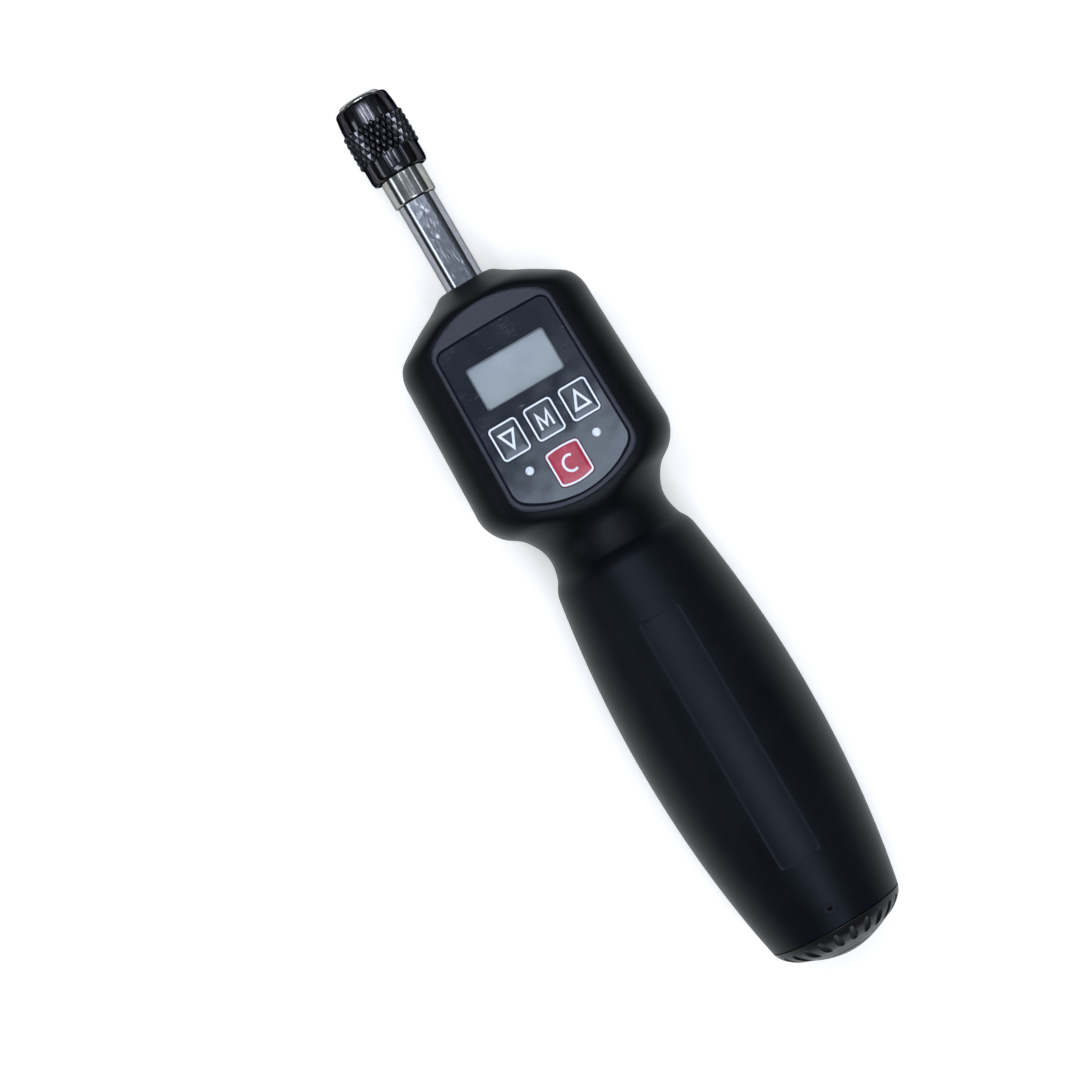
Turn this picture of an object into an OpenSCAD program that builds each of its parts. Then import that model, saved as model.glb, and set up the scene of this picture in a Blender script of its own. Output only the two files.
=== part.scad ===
// Digital torque tester: a battery grip and a flared display head that drive a quick-release bit chuck.
// +Y runs along the drive axis out of the bit socket and +Z out of the display.
// The origin is the socket's mouth. Distances along the tool are counted from there to the end cap, on -Y.

/* [Chuck] */
// Diameter of the chuck body
chuck_d = 10.6; // [10:0.1:12]
// Length of the chuck body, from the socket's mouth to the shaft's shoulder
chuck_l = 26.5; // [25:0.5:30]
// Width across flats of the hex socket
hex_af = 6.4; // [6.35:0.01:6.5]
// Depth of the hex socket
socket_l = 17; // [15:0.5:18]
// Length of chuck body that stands out of the sleeve
lip_l = 1; // [0.6:0.1:2]
// Length of the sliding sleeve
sleeve_l = 18.7; // [18:0.1:20]
// Diameter of the sleeve's plain bands
sleeve_d = 14.1; // [13.8:0.1:15]
// Diameter over the knurl
knurl_d = 15.2; // [14.8:0.1:17]
// Length of the knurled band
knurl_l = 8.9; // [7:0.1:9.5]
// How far the sleeve is pulled back to free a bit
sleeve_travel = 3; // [2:0.1:3.2]
// Diameter of the locking ball
ball_d = 2.8; // [2.6:0.1:3]

/* [Drive] */
// Diameter of the output shaft
shaft_d = 9.4; // [9:0.1:9.8]
// Length of shaft that shows between the chuck and the head
shaft_l = 22.3; // [18:0.1:30]
// Width of the shaft's two flats
flat_w = 4.2; // [3:0.1:5]
// Outer diameter of the sensor's measuring tube
sensor_tube_d = 11; // [10:0.5:12]
// Diameter of the sensor's rear flange
sensor_flange_d = 25; // [24:0.5:26]

/* [Head] */
// Length of the head, from the nose to the seam with the grip
head_l = 69.6; // [66:0.2:74]
// Width of the head just behind the nose
brow_w = 47.2; // [44:0.2:49]
// Width of the head at its rear
head_w = 49.2; // [47:0.2:52]
// Height of the head's front face over the drive axis
face_h = 18.2; // [17.8:0.1:19]
// Depth of the head's flat back below the drive axis
back_h = 21.3; // [20:0.1:23]
// Wall of the head covers
head_wall = 2.4; // [2:0.1:2.6]
// Diameter of the waist between head and grip
waist_d = 30.1; // [29.6:0.1:32]

/* [Face] */
// Width of the bezel at its top
bezel_top_w = 30.6; // [30:0.1:31.5]
// Width of the bezel at its foot
bezel_foot_w = 32.3; // [31.5:0.1:33]
// Length of the bezel
bezel_l = 50.2; // [49:0.1:51]
// Height of the bezel's brow, over the front panel
bezel_brow = 5.8; // [5.2:0.1:6.4]
// Width of the bezel's rim at its sides
bezel_rim = 1.3; // [1:0.05:1.6]
// Width of the bezel's rim at its foot
bezel_foot_rim = 1.6; // [1.2:0.1:2]
// Width of the display window
lcd_w = 19.8; // [18:0.1:21]
// Height of the display window
lcd_l = 10.5; // [9:0.1:11]
// Width of the three upper keys
key_w = 7.25; // [6.5:0.05:8]
// Height of the three upper keys
key_l = 8.5; // [7.5:0.1:9]
// Distance between the upper keys
key_pitch = 8.95; // [8.6:0.05:9.2]
// Width of the clear key
clear_w = 8.6; // [8:0.1:9.4]
// Height of the clear key
clear_l = 9.3; // [8.6:0.1:9.6]
// Travel of the keys
key_travel = 0.3; // [0.2:0.05:0.35]
// Diameter of the two status lights
light_d = 2; // [1.6:0.1:2.4]

/* [Grip] */
// Length of the grip
grip_l = 97.5; // [94:0.5:105]
// Diameter of the grip at the seam with the head
grip_front_d = 32.4; // [31.6:0.1:33]
// Largest diameter of the grip
belly_d = 42.6; // [40:0.2:44]
// Distance of the largest diameter from the seam
belly_at = 45.6; // [40:0.2:50]
// Diameter of the grip at the end cap
tail_d = 32.8; // [32:0.2:34]
// Thickness of the rubber
grip_wall = 2.8; // [2.2:0.1:3]
// Length of the label pad
pad_l = 63.2; // [50:0.2:66]
// Width of the label pad
pad_w = 9.8; // [8:0.2:12]

/* [Cell and cap] */
// Diameter of the cell
cell_d = 18.2; // [17:0.1:18.4]
// Length of the cell's can
cell_l = 65; // [60:0.5:66]
// Length of the end cap's dome
cap_l = 8; // [7:0.1:9]
// Number of finger flutes round the end cap
flutes = 24; // [18:2:26]
// Turns that free the end cap
cap_turns = 4; // [3:1:4]
// Pitch of the end cap's thread
cap_pitch = 1.5; // [1:0.25:1.5]
// Bore of the charging jack
jack_bore_d = 3.6; // [3.5:0.05:3.7]

/* [Hidden] */
$fn = 64;

// Clearances: between seated pieces, between sliding or turning pieces, and the overrun of every cut
seat = 0.05;
run = 0.06;
over = 1;

// Chuck
ball_at = 8;
ball_lift = 0.75;
ball_gap = 0.2;
chuck_edge = 0.5;
socket_lead = 0.6;
sleeve_edge = 0.5;
sleeve_taper = 0.55;
front_band_l = 5.2;
knurl_at = lip_l + front_band_l;
knurl_edge = 0.35;
stop_ring_in = 0.6;
stop_ring_at = lip_l + stop_ring_in;
stop_ring_l = 0.7;
stop_ring_w = 0.6;
ring_seat = 0.35;
cam_at = 4.4;
cam_flat = 0.7;
cam_l = sleeve_travel + ball_gap / 2;
spring_in = 2.8;
spring_at = cam_at + cam_l + spring_in;
spring_wire = 0.6;
spring_l = 5.6;
spring_turns = 5;
spring_steps = 20;
wire_sides = 6;
seat_ring_at = spring_at + spring_l + seat;
magnet_d = 5.8;
magnet_l = 2;
spigot_l = 5.8;
spigot_d = 7.2;
chuck_pin_d = 1.5;

// Drive line stations, counted from the socket's mouth
nose_at = chuck_l + shaft_l;
seam_at = nose_at + head_l;
cap_at = seam_at + grip_l;
bush_in = 2.2;
bush_at = nose_at + bush_in;
bush_l = 8.9;
bush_d = 13.2;
seal_l = 1.8;
hub_gap = 0.2;
hub_at = bush_at + bush_l + hub_gap;
hub_l = 6.9;
hub_d = 16;
hub_spigot_d = 7;
anchor_back = 16.4;
sensor_end = seam_at - anchor_back;
sensor_flange_l = 4.2;
sensor_bore_d = 8.6;
sensor_pin_d = 2;
gauge_w = 4;
gauge_l = 7;
gauge_t = 0.3;
gauge_in = 12;
gauge_at = hub_at + hub_l + gauge_in;
sensor_screw_in = 2.3;
sensor_screw_at = sensor_flange_d / 2 - sensor_screw_in;
sensor_screw_d = 2.5;
sensor_screw_l = 6;

// Head form: rows along the head, as shares of the nose's and the neck's lengths and of their change in size
nose_l = 14;
neck_l = 15.9;
waist_l = 5.5;
nose_w = 14;
nose_h = 8;
crown_share = 0.077;
nose_square = 2.6;
head_square = 3.2;
// Each row: distance, width, front height, back depth, squareness
nose_shares = [[0, 0, 0, 0, 0], [0.186, 0.223, 0.45, 0.35, 0.3], [0.343, 0.461, 0.8, 0.62, 0.55],
    [0.507, 0.684, 0.95, 0.8, 0.8], [0.671, 0.886, 1, 0.93, 0.95], [0.836, 0.97, 1, 0.98, 1],
    [1, 1, 1, 1, 1]];
flank_shares = [[0.1, 0.1], [0.5, 0.5], [0.9, 0.9]];
neck_shares = [[0, 1, 1, 1, 1], [0.138, 0.969, 1, 0.99, 0.95], [0.283, 0.864, 1, 0.95, 0.8],
    [0.428, 0.675, 0.95, 0.82, 0.6], [0.572, 0.3455, 0.72, 0.55, 0.35], [0.717, 0.162, 0.38, 0.28, 0.15],
    [0.862, 0.047, 0.1, 0.08, 0.05], [1, 0, 0, 0, 0]];
waist_shares = [[0.42, 0.13], [0.84, 0.65], [1, 1]];
outer_sides = 44;
inner_sides = 32;

// Head fittings
bush_boss_d = 18;
neck_rib_l = 2.8;
head_screw_d = 2.5;
head_screw_head_d = 4.6;
head_screw_head_l = 2;
head_screw_post_d = 5.4;
head_screw_seat = 12;
head_screw_up = 8;
head_screw_x_share = 0.37;
head_screw_in = 19.2;
head_screw_pitch = 22;
head_screw_ats = [nose_at + head_screw_in, nose_at + head_screw_in + head_screw_pitch];
slot_w = 0.5;

// Face stack, as heights over the drive axis
pocket_depth = 1.3;
pocket_floor = face_h - pocket_depth;
face_wall = face_h - head_wall;
bezel_t = 1.8;
panel_t = 1.4;
window_t = 1.35;
key_cap_t = 1.15;
key_gap = 0.12;
key_edge = 0.25;
key_stem_d = 2.8;
stem_gap = 0.2;
groove_w = 0.3;
bezel_in = 5.8;
foot_spread = 0.15;
light_up = 3;
// Gaps over the window, over the key row and over the clear key, as shares of the panel's spare length
face_gap_shares = [0.438, 0.238, 0.1655];
panel_top_w = bezel_top_w - bezel_rim * 2;
panel_foot_w = bezel_foot_w - (bezel_rim + foot_spread) * 2;
panel_l = bezel_l - bezel_brow - bezel_foot_rim;
face_spare = panel_l - lcd_l - key_l - clear_l;
bezel_at = nose_at + bezel_in;
panel_at = bezel_at + bezel_brow;
lcd_at = panel_at + face_spare * face_gap_shares[0] + lcd_l / 2;
key_row_at = lcd_at + (lcd_l + key_l) / 2 + face_spare * face_gap_shares[1];
clear_at = key_row_at + (key_l + clear_l) / 2 + face_spare * face_gap_shares[2];
light_at = clear_at - light_up;
light_x = 8.6;
bezel_rise = 5.4;
bezel_corner = 4.5;
bezel_foot_rise = 5.6;
bezel_foot_corner = 5;
panel_rise = 0.3;
panel_corner = 2;
panel_foot_rise = 5.4;
panel_foot_corner = 4;
lcd_corner = 0.8;
key_corner = 1.1;
clear_rise = 0.7;
lcd_ledge = 0.3;
arc_steps = 8;

// Electronics
board_t = 1.6;
board_top = 13.1;
board_w = 32;
board_l = 40;
board_in = 11.7;
board_at = nose_at + board_in;
board_corner = 1;
board_hole_d = 2.1;
board_post_d = 4.4;
board_post_gap = 0.35;
board_flat_gap = 0.3;
front_screw_x = 14;
front_screw_in = 2.5;
rear_screw_x = 12.5;
rear_screw_in = 37.7;
board_screw_spots = [[front_screw_x, board_at + front_screw_in], [rear_screw_x, board_at + rear_screw_in]];
board_screw_d = 2;
board_screw_head_d = 3.4;
board_screw_l = 4;
backlight_t = 0.7;
lcd_glass_t = 1.85;
lcd_margin = 3.2;
switch_w = 6;
switch_h = 1.9;
plunger_d = 3;
plunger_gap = 0.05;
led_chip = 1.6;
led_chip_h = 0.9;
chip_w = 9;
chip_t = 1.5;
buzzer_d = 9;
buzzer_h = 4;
buzzer_x = -9.6;
buzzer_in = 11.7;
chip_x = 7;
chip_in = 24.3;
buzzer_spot = [buzzer_x, board_at + buzzer_in];
chip_spot = [chip_x, board_at + chip_in];
lead_d = 1.2;
lead_x = 3;
lead_z = 6.4;
lead_sides = 8;

// Handle
flange_d = 28;
flange_l = 4;
neck_core_gap = 0.25;
neck_core_d = waist_d - (head_wall + neck_core_gap) * 2;
wire_way_d = 16.4;
bay_wall = 5.6;
shoulder_l = 3.6;
shoulder_drop = 1;
front_power_share = 1.9;
rear_power_share = 2.15;
grip_steps = 30;
pad_drop = 0.35;
pad_in = 16.8;
pad_at = seam_at + pad_in;
cradle_wall = 1.8;
plate_l = 2;
nub_d = 5.6;
nub_l = 1.4;
cell_gap = 0.1;
contact_t = 1.2;
contact_d = 10;
spring_room = 8.4;
contact_wire = 0.8;
contact_turns = 5;

// Rear of the handle
bulkhead_l = 2.5;
bulkhead_ring_t = 1.55;
bulkhead_ring_l = 7.2;
post_bore_d = 9.6;
post_d = 14;
post_l = 3.4;
charge_board_d = 14.8;
charge_board_t = 1.5;
jack_d = 6;
jack_pin_d = 1.3;
jack_back = 1.2;
cap_seam = 0.15;
cap_spigot_t = 1.5;
spigot_run_in = 1.4;
cap_spigot_l = cap_turns * cap_pitch + spigot_run_in;
cap_wall = 2;
o_ring_d = 1.4;
bulkhead_screw_d = 2;
bulkhead_screw_head_gap = 0.1;
bulkhead_screw_head_l = 1.2;
set_screw_d = 2.4;
set_screw_hex = 1.3;
set_screw_l = 3.8;
access_d = 1.3;
set_screw_back = 4.8;
// Outline of the cap's dome: distance from the seam and radius, each as a share
cap_shares = [[0, 1], [0.256, 0.945], [0.4, 0.87], [0.54, 0.78], [0.7, 0.6], [0.83, 0.47], [0.93, 0.33],
    [1, 0.2]];
flute_w = 1.5;
flute_l = 4.6;
flute_at_share = 0.8;
flute_d_share = 0.45;
flute_tilt = 58;

// Worked-out sizes
chuck_r = chuck_d / 2;
shaft_r = shaft_d / 2;
ball_r = ball_d / 2;
ball_orbit = chuck_r - seat - ball_r;
sleeve_bore_r = chuck_r + run * 4 / 3;
pocket_r = sleeve_bore_r + ball_lift;
spring_r = chuck_r + run * 2 + spring_wire / 2;
flat_h = sqrt(shaft_r * shaft_r - flat_w * flat_w / 4);
waist_r = waist_d / 2;
grip_front_r = grip_front_d / 2;
belly_r = belly_d / 2;
tail_r = tail_d / 2;
crown_h = face_h * (1 + crown_share);
crown_back = back_h * (1 + crown_share);
bay_r = cell_d / 2 + cradle_wall + cell_gap * 3;
bay_at = seam_at + bay_wall;
plate_at = bay_at + cell_gap * 2;
contact_at = plate_at + plate_l + seat;
cell_at = contact_at + contact_t + nub_l + seat;
cell_end = cell_at + cell_l;
rear_plate_at = cell_end + spring_room;
bulkhead_at = rear_plate_at + plate_l + seat;
ring_r = bay_r - seat;
cap_thread_r = ring_r - bulkhead_ring_t - seat;
charge_board_at = bulkhead_at + bulkhead_l + post_l + seat;
set_screw_at = cap_at - set_screw_back;
cap_front = cap_at + cap_seam;
head_screw_x = head_w * head_screw_x_share;

function mix(a, b, t) = a + (b - a) * t;

// Revolve and drill along the drive axis, starting at a distance from the socket's mouth
module along(at) translate([0, -at, 0]) rotate([90, 0, 0]) children();
module rod(at, l, d) along(at) cylinder(h = l, d = d);
module turned(points) along(0) rotate_extrude() polygon(points);
// Extrude upwards at a place on the face
module raised(at, low, high, x = 0) translate([x, -at, low]) linear_extrude(high - low) children();
// A straight bore across the tool, through its axis
module cross_rod(at, l, d) translate([-l / 2, -at, 0]) rotate([0, 90, 0]) cylinder(h = l, d = d);

// Points of an outline with an arched end over y = top, its corners rounded, from right to left
function arched_end(w, top, rise, corner) =
    let(big = (w * w / 4 + rise * rise) / (2 * rise), mid = top - big, cx = w / 2 - corner,
        cy = mid + sqrt((big - corner) * (big - corner) - cx * cx), turn = atan2(cy - mid, cx))
    concat([for (i = [0:arc_steps]) let(a = turn * i / arc_steps)
            [cx + corner * cos(a), cy + corner * sin(a)]],
        [for (i = [1:arc_steps * 2 - 1]) let(a = mix(turn, 180 - turn, i / (arc_steps * 2)))
            [big * cos(a), mid + big * sin(a)]],
        [for (i = [0:arc_steps]) let(a = mix(180 - turn, 180, i / arc_steps))
            [-cx + corner * cos(a), cy + corner * sin(a)]]);
function foot_of(points) = [for (i = [len(points) - 1:-1:0]) [points[i][0], -points[i][1]]];
// A closed outline with both ends arched, centred between its ends
function arched(top_w, foot_w, l, rise, corner, foot_rise, foot_corner) =
    concat(arched_end(top_w, l / 2, rise, corner),
        foot_of(arched_end(foot_w, l / 2, foot_rise, foot_corner)));
function rounded_box(w, l, r) =
    [for (q = [0:3]) for (i = [0:arc_steps]) let(a = 90 * (q + i / arc_steps),
        sx = (q == 0 || q == 3) ? 1 : -1, sy = q < 2 ? 1 : -1)
        [sx * (w / 2 - r) + r * cos(a), sy * (l / 2 - r) + r * sin(a)]];

// A wire swept along a list of points with one round section
function unit(v) = v / norm(v);
module wire(points, d, sides, side_hint) {
    n = len(points);
    rings = [for (i = [0:n - 1]) let(t = unit(points[min(i + 1, n - 1)] - points[max(i - 1, 0)]),
        u = unit(cross(side_hint, t)), v = cross(t, u))
        for (k = [0:sides - 1]) points[i] + (u * cos(360 * k / sides) + v * sin(360 * k / sides)) * d / 2];
    polyhedron(rings, concat(
        [for (k = [1:sides - 2]) [0, k + 1, k]],
        [for (i = [0:n - 2]) for (k = [0:sides - 1]) each [
            [i * sides + k, i * sides + (k + 1) % sides, (i + 1) * sides + k],
            [i * sides + (k + 1) % sides, (i + 1) * sides + (k + 1) % sides, (i + 1) * sides + k]]],
        [for (k = [1:sides - 2]) [(n - 1) * sides, (n - 1) * sides + k, (n - 1) * sides + k + 1]]));
}
// A coil round the drive axis whose radius may change from one end to the other
module coil(at, l, r, end_r, d, turns, steps) {
    n = turns * steps;
    wire([for (i = [0:n]) let(a = 360 * i / steps, q = mix(r, end_r, i / n))
        [q * cos(a), -(at + d / 2 + (l - d) * i / n), q * sin(a)]], d, wire_sides, [0, 1, 0]);
}

// Head form: rows of [distance, half width, front, back, squareness], then rings, then one closed skin
function blend_row(s, from, l, w0, w1, f0, f1, b0, b1, n0, n1) =
    [from + s[0] * l, mix(w0, w1, s[1]), mix(f0, f1, s[2]), mix(b0, b1, s[3]), mix(n0, n1, s[4])];
neck_from = seam_at - waist_l - neck_l;
head_rows = concat(
    [for (s = nose_shares) blend_row(s, nose_at, nose_l, nose_w / 2, brow_w / 2, nose_h, crown_h,
        nose_h, crown_back, nose_square, head_square)],
    [for (s = flank_shares) [mix(nose_at + nose_l, neck_from, s[0]), mix(brow_w, head_w, s[1]) / 2,
        crown_h, crown_back, head_square]],
    [for (s = neck_shares) blend_row(s, neck_from, neck_l, waist_r, head_w / 2, waist_r, crown_h,
        waist_r, crown_back, 2, head_square)],
    [for (s = waist_shares) let(r = mix(waist_r, grip_front_r, s[1]))
        [seam_at - waist_l * (1 - s[0]), r, r, r, 2]]);
function curve(a, b, c, d, t) =
    0.5 * (2 * b + (c - a) * t + (2 * a - 5 * b + 4 * c - d) * t * t + (3 * b - a - 3 * c + d) * t * t * t);
function finer(rows, k) = let(last = len(rows) - 1) [for (i = [0:last - 1]) for (j = [0:k - 1])
    curve(rows[max(i - 1, 0)], rows[i], rows[i + 1], rows[min(i + 2, last)], j / k), rows[last]];
function power_point(angle, half, e) = sign(half) * pow(abs(sin(angle)), 2 / e) * abs(half);
function ring_of(row, sides) = [for (i = [0:sides - 1]) let(a = 360 * i / sides, up = sin(a) >= 0)
    [sign(cos(a)) * power_point(90 - a, row[1], row[4]), -row[0],
        power_point(a, up ? row[2] : -row[3], row[4])]];
module skin(rings) {
    n = len(rings[0]);
    m = len(rings);
    polyhedron([for (r = rings) for (p = r) p], concat(
        [for (k = [1:n - 2]) [0, k, k + 1]],
        [for (j = [0:m - 2]) for (i = [0:n - 1]) each [
            [j * n + i, (j + 1) * n + i, (j + 1) * n + (i + 1) % n],
            [j * n + i, (j + 1) * n + (i + 1) % n, j * n + (i + 1) % n]]],
        [for (k = [1:n - 2]) [(m - 1) * n, (m - 1) * n + k + 1, (m - 1) * n + k]]));
}
module between(low, high) translate([-head_w, -seam_at - over * 2, low])
    cube([head_w * 2, head_l + over * 4, high - low]);
module head_form() skin([for (row = finer(head_rows, 2)) ring_of(row, outer_sides)]);
module head_hollow(low, high) {
    in = [0, head_wall, head_wall, head_wall, 0];
    tail = head_rows[len(head_rows) - 1];
    rows = concat([head_rows[0] - in + [head_wall, 0, 0, 0, 0]],
        [for (row = head_rows) if (row[0] > nose_at + head_wall) row - in],
        [tail - in + [over, 0, 0, 0, 0]]);
    intersection() {
        skin([for (row = rows) ring_of(row, inner_sides)]);
        between(low, high);
    }
}
module bezel_outline(gap) polygon(arched(bezel_top_w + gap * 2, bezel_foot_w + gap * 2, bezel_l + gap * 2,
    bezel_rise, bezel_corner + gap, bezel_foot_rise, bezel_foot_corner + gap));
module panel_outline(gap = 0) polygon(arched(panel_top_w + gap * 2, panel_foot_w + gap * 2, panel_l + gap * 2,
    panel_rise, panel_corner + gap, panel_foot_rise, panel_foot_corner + gap));
module key_outline(gap = 0) polygon(rounded_box(key_w + gap * 2, key_l + gap * 2, key_corner + gap));
module clear_outline(gap = 0) polygon(arched(clear_w + gap * 2, clear_w + gap * 2, clear_l + gap * 2,
    clear_rise / 2, key_corner + gap, clear_rise, key_corner + gap));
module lcd_outline(gap = 0) polygon(rounded_box(lcd_w + gap * 2, lcd_l + gap * 2, lcd_corner + max(gap, 0)));
bezel_mid = bezel_at + bezel_l / 2;
panel_mid = panel_at + panel_l / 2;
upper_key_xs = [-key_pitch, 0, key_pitch];
key_spots = concat([for (x = upper_key_xs) [x, key_row_at]], [[0, clear_at]]);

// Posts, saddle and rib that stay standing when the head is hollowed
module head_posts() {
    for (x = [-head_screw_x, head_screw_x]) for (at = head_screw_ats)
        translate([x, -at, -back_h - over]) cylinder(h = back_h + face_h + over * 2, d = head_screw_post_d);
    for (s = board_screw_spots) for (x = [-s[0], s[0]])
        translate([x, -s[1], board_top]) cylinder(h = face_h, d = board_post_d);
    rod(nose_at, hub_at - nose_at, bush_boss_d);
    difference() {
        rod(sensor_end + flange_l + seat, neck_rib_l, waist_d);
        rod(sensor_end, head_l, neck_core_d + seat * 4);
    }
}
module head_shell(low, high, hollow_low, hollow_high) difference() {
    intersection() {
        head_form();
        between(low, high);
    }
    difference() {
        head_hollow(hollow_low, hollow_high);
        head_posts();
    }
    rod(nose_at - over, hub_at - nose_at + over * 2, bush_d + seat * 2);
    for (x = [-head_screw_x, head_screw_x]) for (at = head_screw_ats)
        translate([x, -at, -head_screw_seat])
            cylinder(h = head_screw_seat + head_screw_up + over, d = head_screw_d + seat * 2);
}

module chuck_body() color("silver") difference() {
    turned([[0, 0], [chuck_r - chuck_edge, 0], [chuck_r, chuck_edge], [chuck_r, chuck_l - chuck_edge / 2],
        [chuck_r - chuck_edge / 2, chuck_l], [0, chuck_l]]);
    along(-over) cylinder(h = socket_l + over, d = hex_af / cos(30), $fn = 6);
    along(0) rotate_extrude() polygon([[0, -over], [hex_af / 2 + socket_lead + over, -over],
        [hex_af / 2, socket_lead], [0, socket_lead]]);
    rod(socket_l - seat, magnet_l + seat * 2, magnet_d + seat * 2);
    rod(chuck_l - spigot_l - seat, spigot_l + over, spigot_d + seat * 2);
    cross_rod(chuck_l - spigot_l / 2, chuck_d + over, chuck_pin_d + seat);
    translate([0, -ball_at, ball_r]) cylinder(h = chuck_r, d = ball_d + run * 2);
    for (at = [stop_ring_at, seat_ring_at]) difference() {
        rod(at - seat, stop_ring_l + seat * 2, chuck_d + over);
        rod(at - over, stop_ring_l + over * 2, chuck_d - ring_seat * 2);
    }
}

module chuck_sleeve() {
    front = lip_l;
    rear = lip_l + sleeve_l;
    band_r = sleeve_d / 2;
    knurl_r = knurl_d / 2;
    knurl_end = knurl_at + knurl_l;
    shelf = stop_ring_at + stop_ring_l + seat * 2;
    shelf_r = chuck_r + stop_ring_w + run;
    cam_r = sleeve_bore_r + ball_lift + ball_gap;
    color([0.06, 0.06, 0.065]) turned([
        [shelf_r, front], [band_r - sleeve_taper - sleeve_edge, front],
        [band_r - sleeve_taper - sleeve_edge / 4, front + sleeve_edge / 4],
        [band_r - sleeve_taper, front + sleeve_edge],
        [band_r, knurl_at], [knurl_r - knurl_edge, knurl_at], [knurl_r, knurl_at + knurl_edge],
        [knurl_r, knurl_end - knurl_edge], [knurl_r - knurl_edge, knurl_end], [band_r, knurl_end],
        [band_r - sleeve_edge / 4, rear - sleeve_edge * 2],
        [band_r - sleeve_edge / 2, rear - sleeve_edge / 2], [band_r - sleeve_edge, rear],
        [pocket_r, rear], [pocket_r, spring_at - seat], [sleeve_bore_r, spring_at - seat],
        [sleeve_bore_r, cam_at + cam_l + seat * 6], [cam_r, cam_at],
        [cam_r, cam_at - cam_flat], [sleeve_bore_r, cam_at - cam_flat], [sleeve_bore_r, shelf],
        [shelf_r, shelf]]);
}

module sleeve_spring() color("silver")
    coil(spring_at, spring_l, spring_r, spring_r, spring_wire, spring_turns, spring_steps);

module groove_ring(at, w) color("gray") difference() {
    rod(at, stop_ring_l, chuck_d + w * 2);
    rod(at - over, stop_ring_l + over * 2, chuck_d - ring_seat * 2 + seat);
    translate([-stop_ring_w / 2, -at - stop_ring_l - over, -chuck_d])
        cube([stop_ring_w, stop_ring_l + over * 2, chuck_d]);
}
module sleeve_stop_ring() groove_ring(stop_ring_at, stop_ring_w);
module spring_seat_ring() groove_ring(seat_ring_at, pocket_r - chuck_r - run);

module locking_ball() color("silver") translate([0, -ball_at, ball_orbit]) sphere(d = ball_d);
module bit_magnet() color("gray") rod(socket_l, magnet_l - seat, magnet_d);
module chuck_pin() color("gray") cross_rod(chuck_l - spigot_l / 2, chuck_d - chuck_edge, chuck_pin_d);

module output_shaft() {
    end = hub_at + hub_l - seat * 2;
    color("silver") difference() {
        union() {
            rod(chuck_l - spigot_l, spigot_l + over, spigot_d);
            rod(chuck_l + seat, hub_at - chuck_l - seat * 3, shaft_d);
            rod(hub_at - over, end - hub_at + over, hub_spigot_d);
        }
        for (side = [-1, 1]) translate([-shaft_d, -nose_at + seat, side * flat_h - (side < 0 ? shaft_d : 0)])
            cube([shaft_d * 2, shaft_l - seat * 3, shaft_d]);
        cross_rod(chuck_l - spigot_l / 2, chuck_d, chuck_pin_d + seat);
        cross_rod(hub_at + hub_l / 2, hub_d, sensor_pin_d + seat);
    }
}

seal_at = nose_at + seat * 6;
module shaft_seal() color([0.05, 0.05, 0.05]) turned([[shaft_r + seat, seal_at], [bush_d / 2, seal_at],
    [bush_d / 2, seal_at + seal_l], [shaft_r + seat, seal_at + seal_l]]);
module nose_bush() color("tan") turned([[shaft_r + run, bush_at], [bush_d / 2, bush_at],
    [bush_d / 2, bush_at + bush_l], [shaft_r + run, bush_at + bush_l]]);

module head_front_cover() color([0.07, 0.07, 0.08]) difference() {
    head_shell(0, face_h, -over, face_wall);
    raised(bezel_mid, pocket_floor, face_h + over) bezel_outline(seat);
    raised(lcd_at, board_top, face_h) lcd_outline(-lcd_ledge);
    for (s = key_spots) raised(s[1], board_top, face_h, s[0]) circle(d = key_stem_d + stem_gap * 2);
    for (x = [-light_x, light_x]) raised(light_at, board_top, face_h, x) circle(d = light_d + seat * 2);
    for (s = board_screw_spots) for (x = [-s[0], s[0]])
        translate([x, -s[1], board_top - over])
            cylinder(h = over + board_screw_l - board_t, d = board_screw_d + seat);
}

module head_back_cover() color([0.07, 0.07, 0.08]) difference() {
    head_shell(-back_h, 0, -back_h + head_wall, over);
    for (x = [-head_screw_x, head_screw_x]) for (at = head_screw_ats)
        translate([x, -at, -back_h - over])
            cylinder(h = back_h - head_screw_seat + over, d = head_screw_head_d + seat * 4);
}

// A pan-head screw with a cross recess, its head at the bottom
module screw(d, head_d, head_l, l) difference() {
    union() {
        cylinder(h = head_l, d = head_d);
        cylinder(h = head_l + l, d = d);
    }
    for (turn = [0, 90]) rotate(turn) translate([-head_d / 3, -slot_w / 2, -over])
        cube([head_d * 2 / 3, slot_w, over + head_l / 2]);
}
module head_screws() color("dimgray") for (x = [-head_screw_x, head_screw_x]) for (at = head_screw_ats)
    translate([x, -at, -head_screw_seat - head_screw_head_l])
        screw(head_screw_d, head_screw_head_d, head_screw_head_l, head_screw_seat + head_screw_up);

module bezel() color([0.17, 0.18, 0.23]) difference() {
    raised(bezel_mid, pocket_floor, pocket_floor + bezel_t) bezel_outline(-seat);
    raised(panel_mid, pocket_floor - over, face_h + bezel_t) panel_outline(groove_w);
}
module front_panel() color([0.11, 0.13, 0.17]) difference() {
    raised(panel_mid, pocket_floor, pocket_floor + panel_t) panel_outline();
    raised(lcd_at, pocket_floor - over, face_h + over) lcd_outline(seat);
    for (x = upper_key_xs) raised(key_row_at, pocket_floor - over, face_h + over, x) key_outline(key_gap);
    raised(clear_at, pocket_floor - over, face_h + over) clear_outline(key_gap);
    for (x = [-light_x, light_x])
        raised(light_at, pocket_floor - over, face_h + over, x) circle(d = light_d + seat * 2);
}
module lcd_window() color([0.6, 0.64, 0.68])
    raised(lcd_at, pocket_floor, pocket_floor + window_t) lcd_outline();
module lcd_module() color([0.5, 0.56, 0.56])
    raised(lcd_at, board_top + backlight_t, board_top + backlight_t + lcd_glass_t)
        square([lcd_w + lcd_margin, lcd_l + lcd_margin], center = true);
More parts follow.
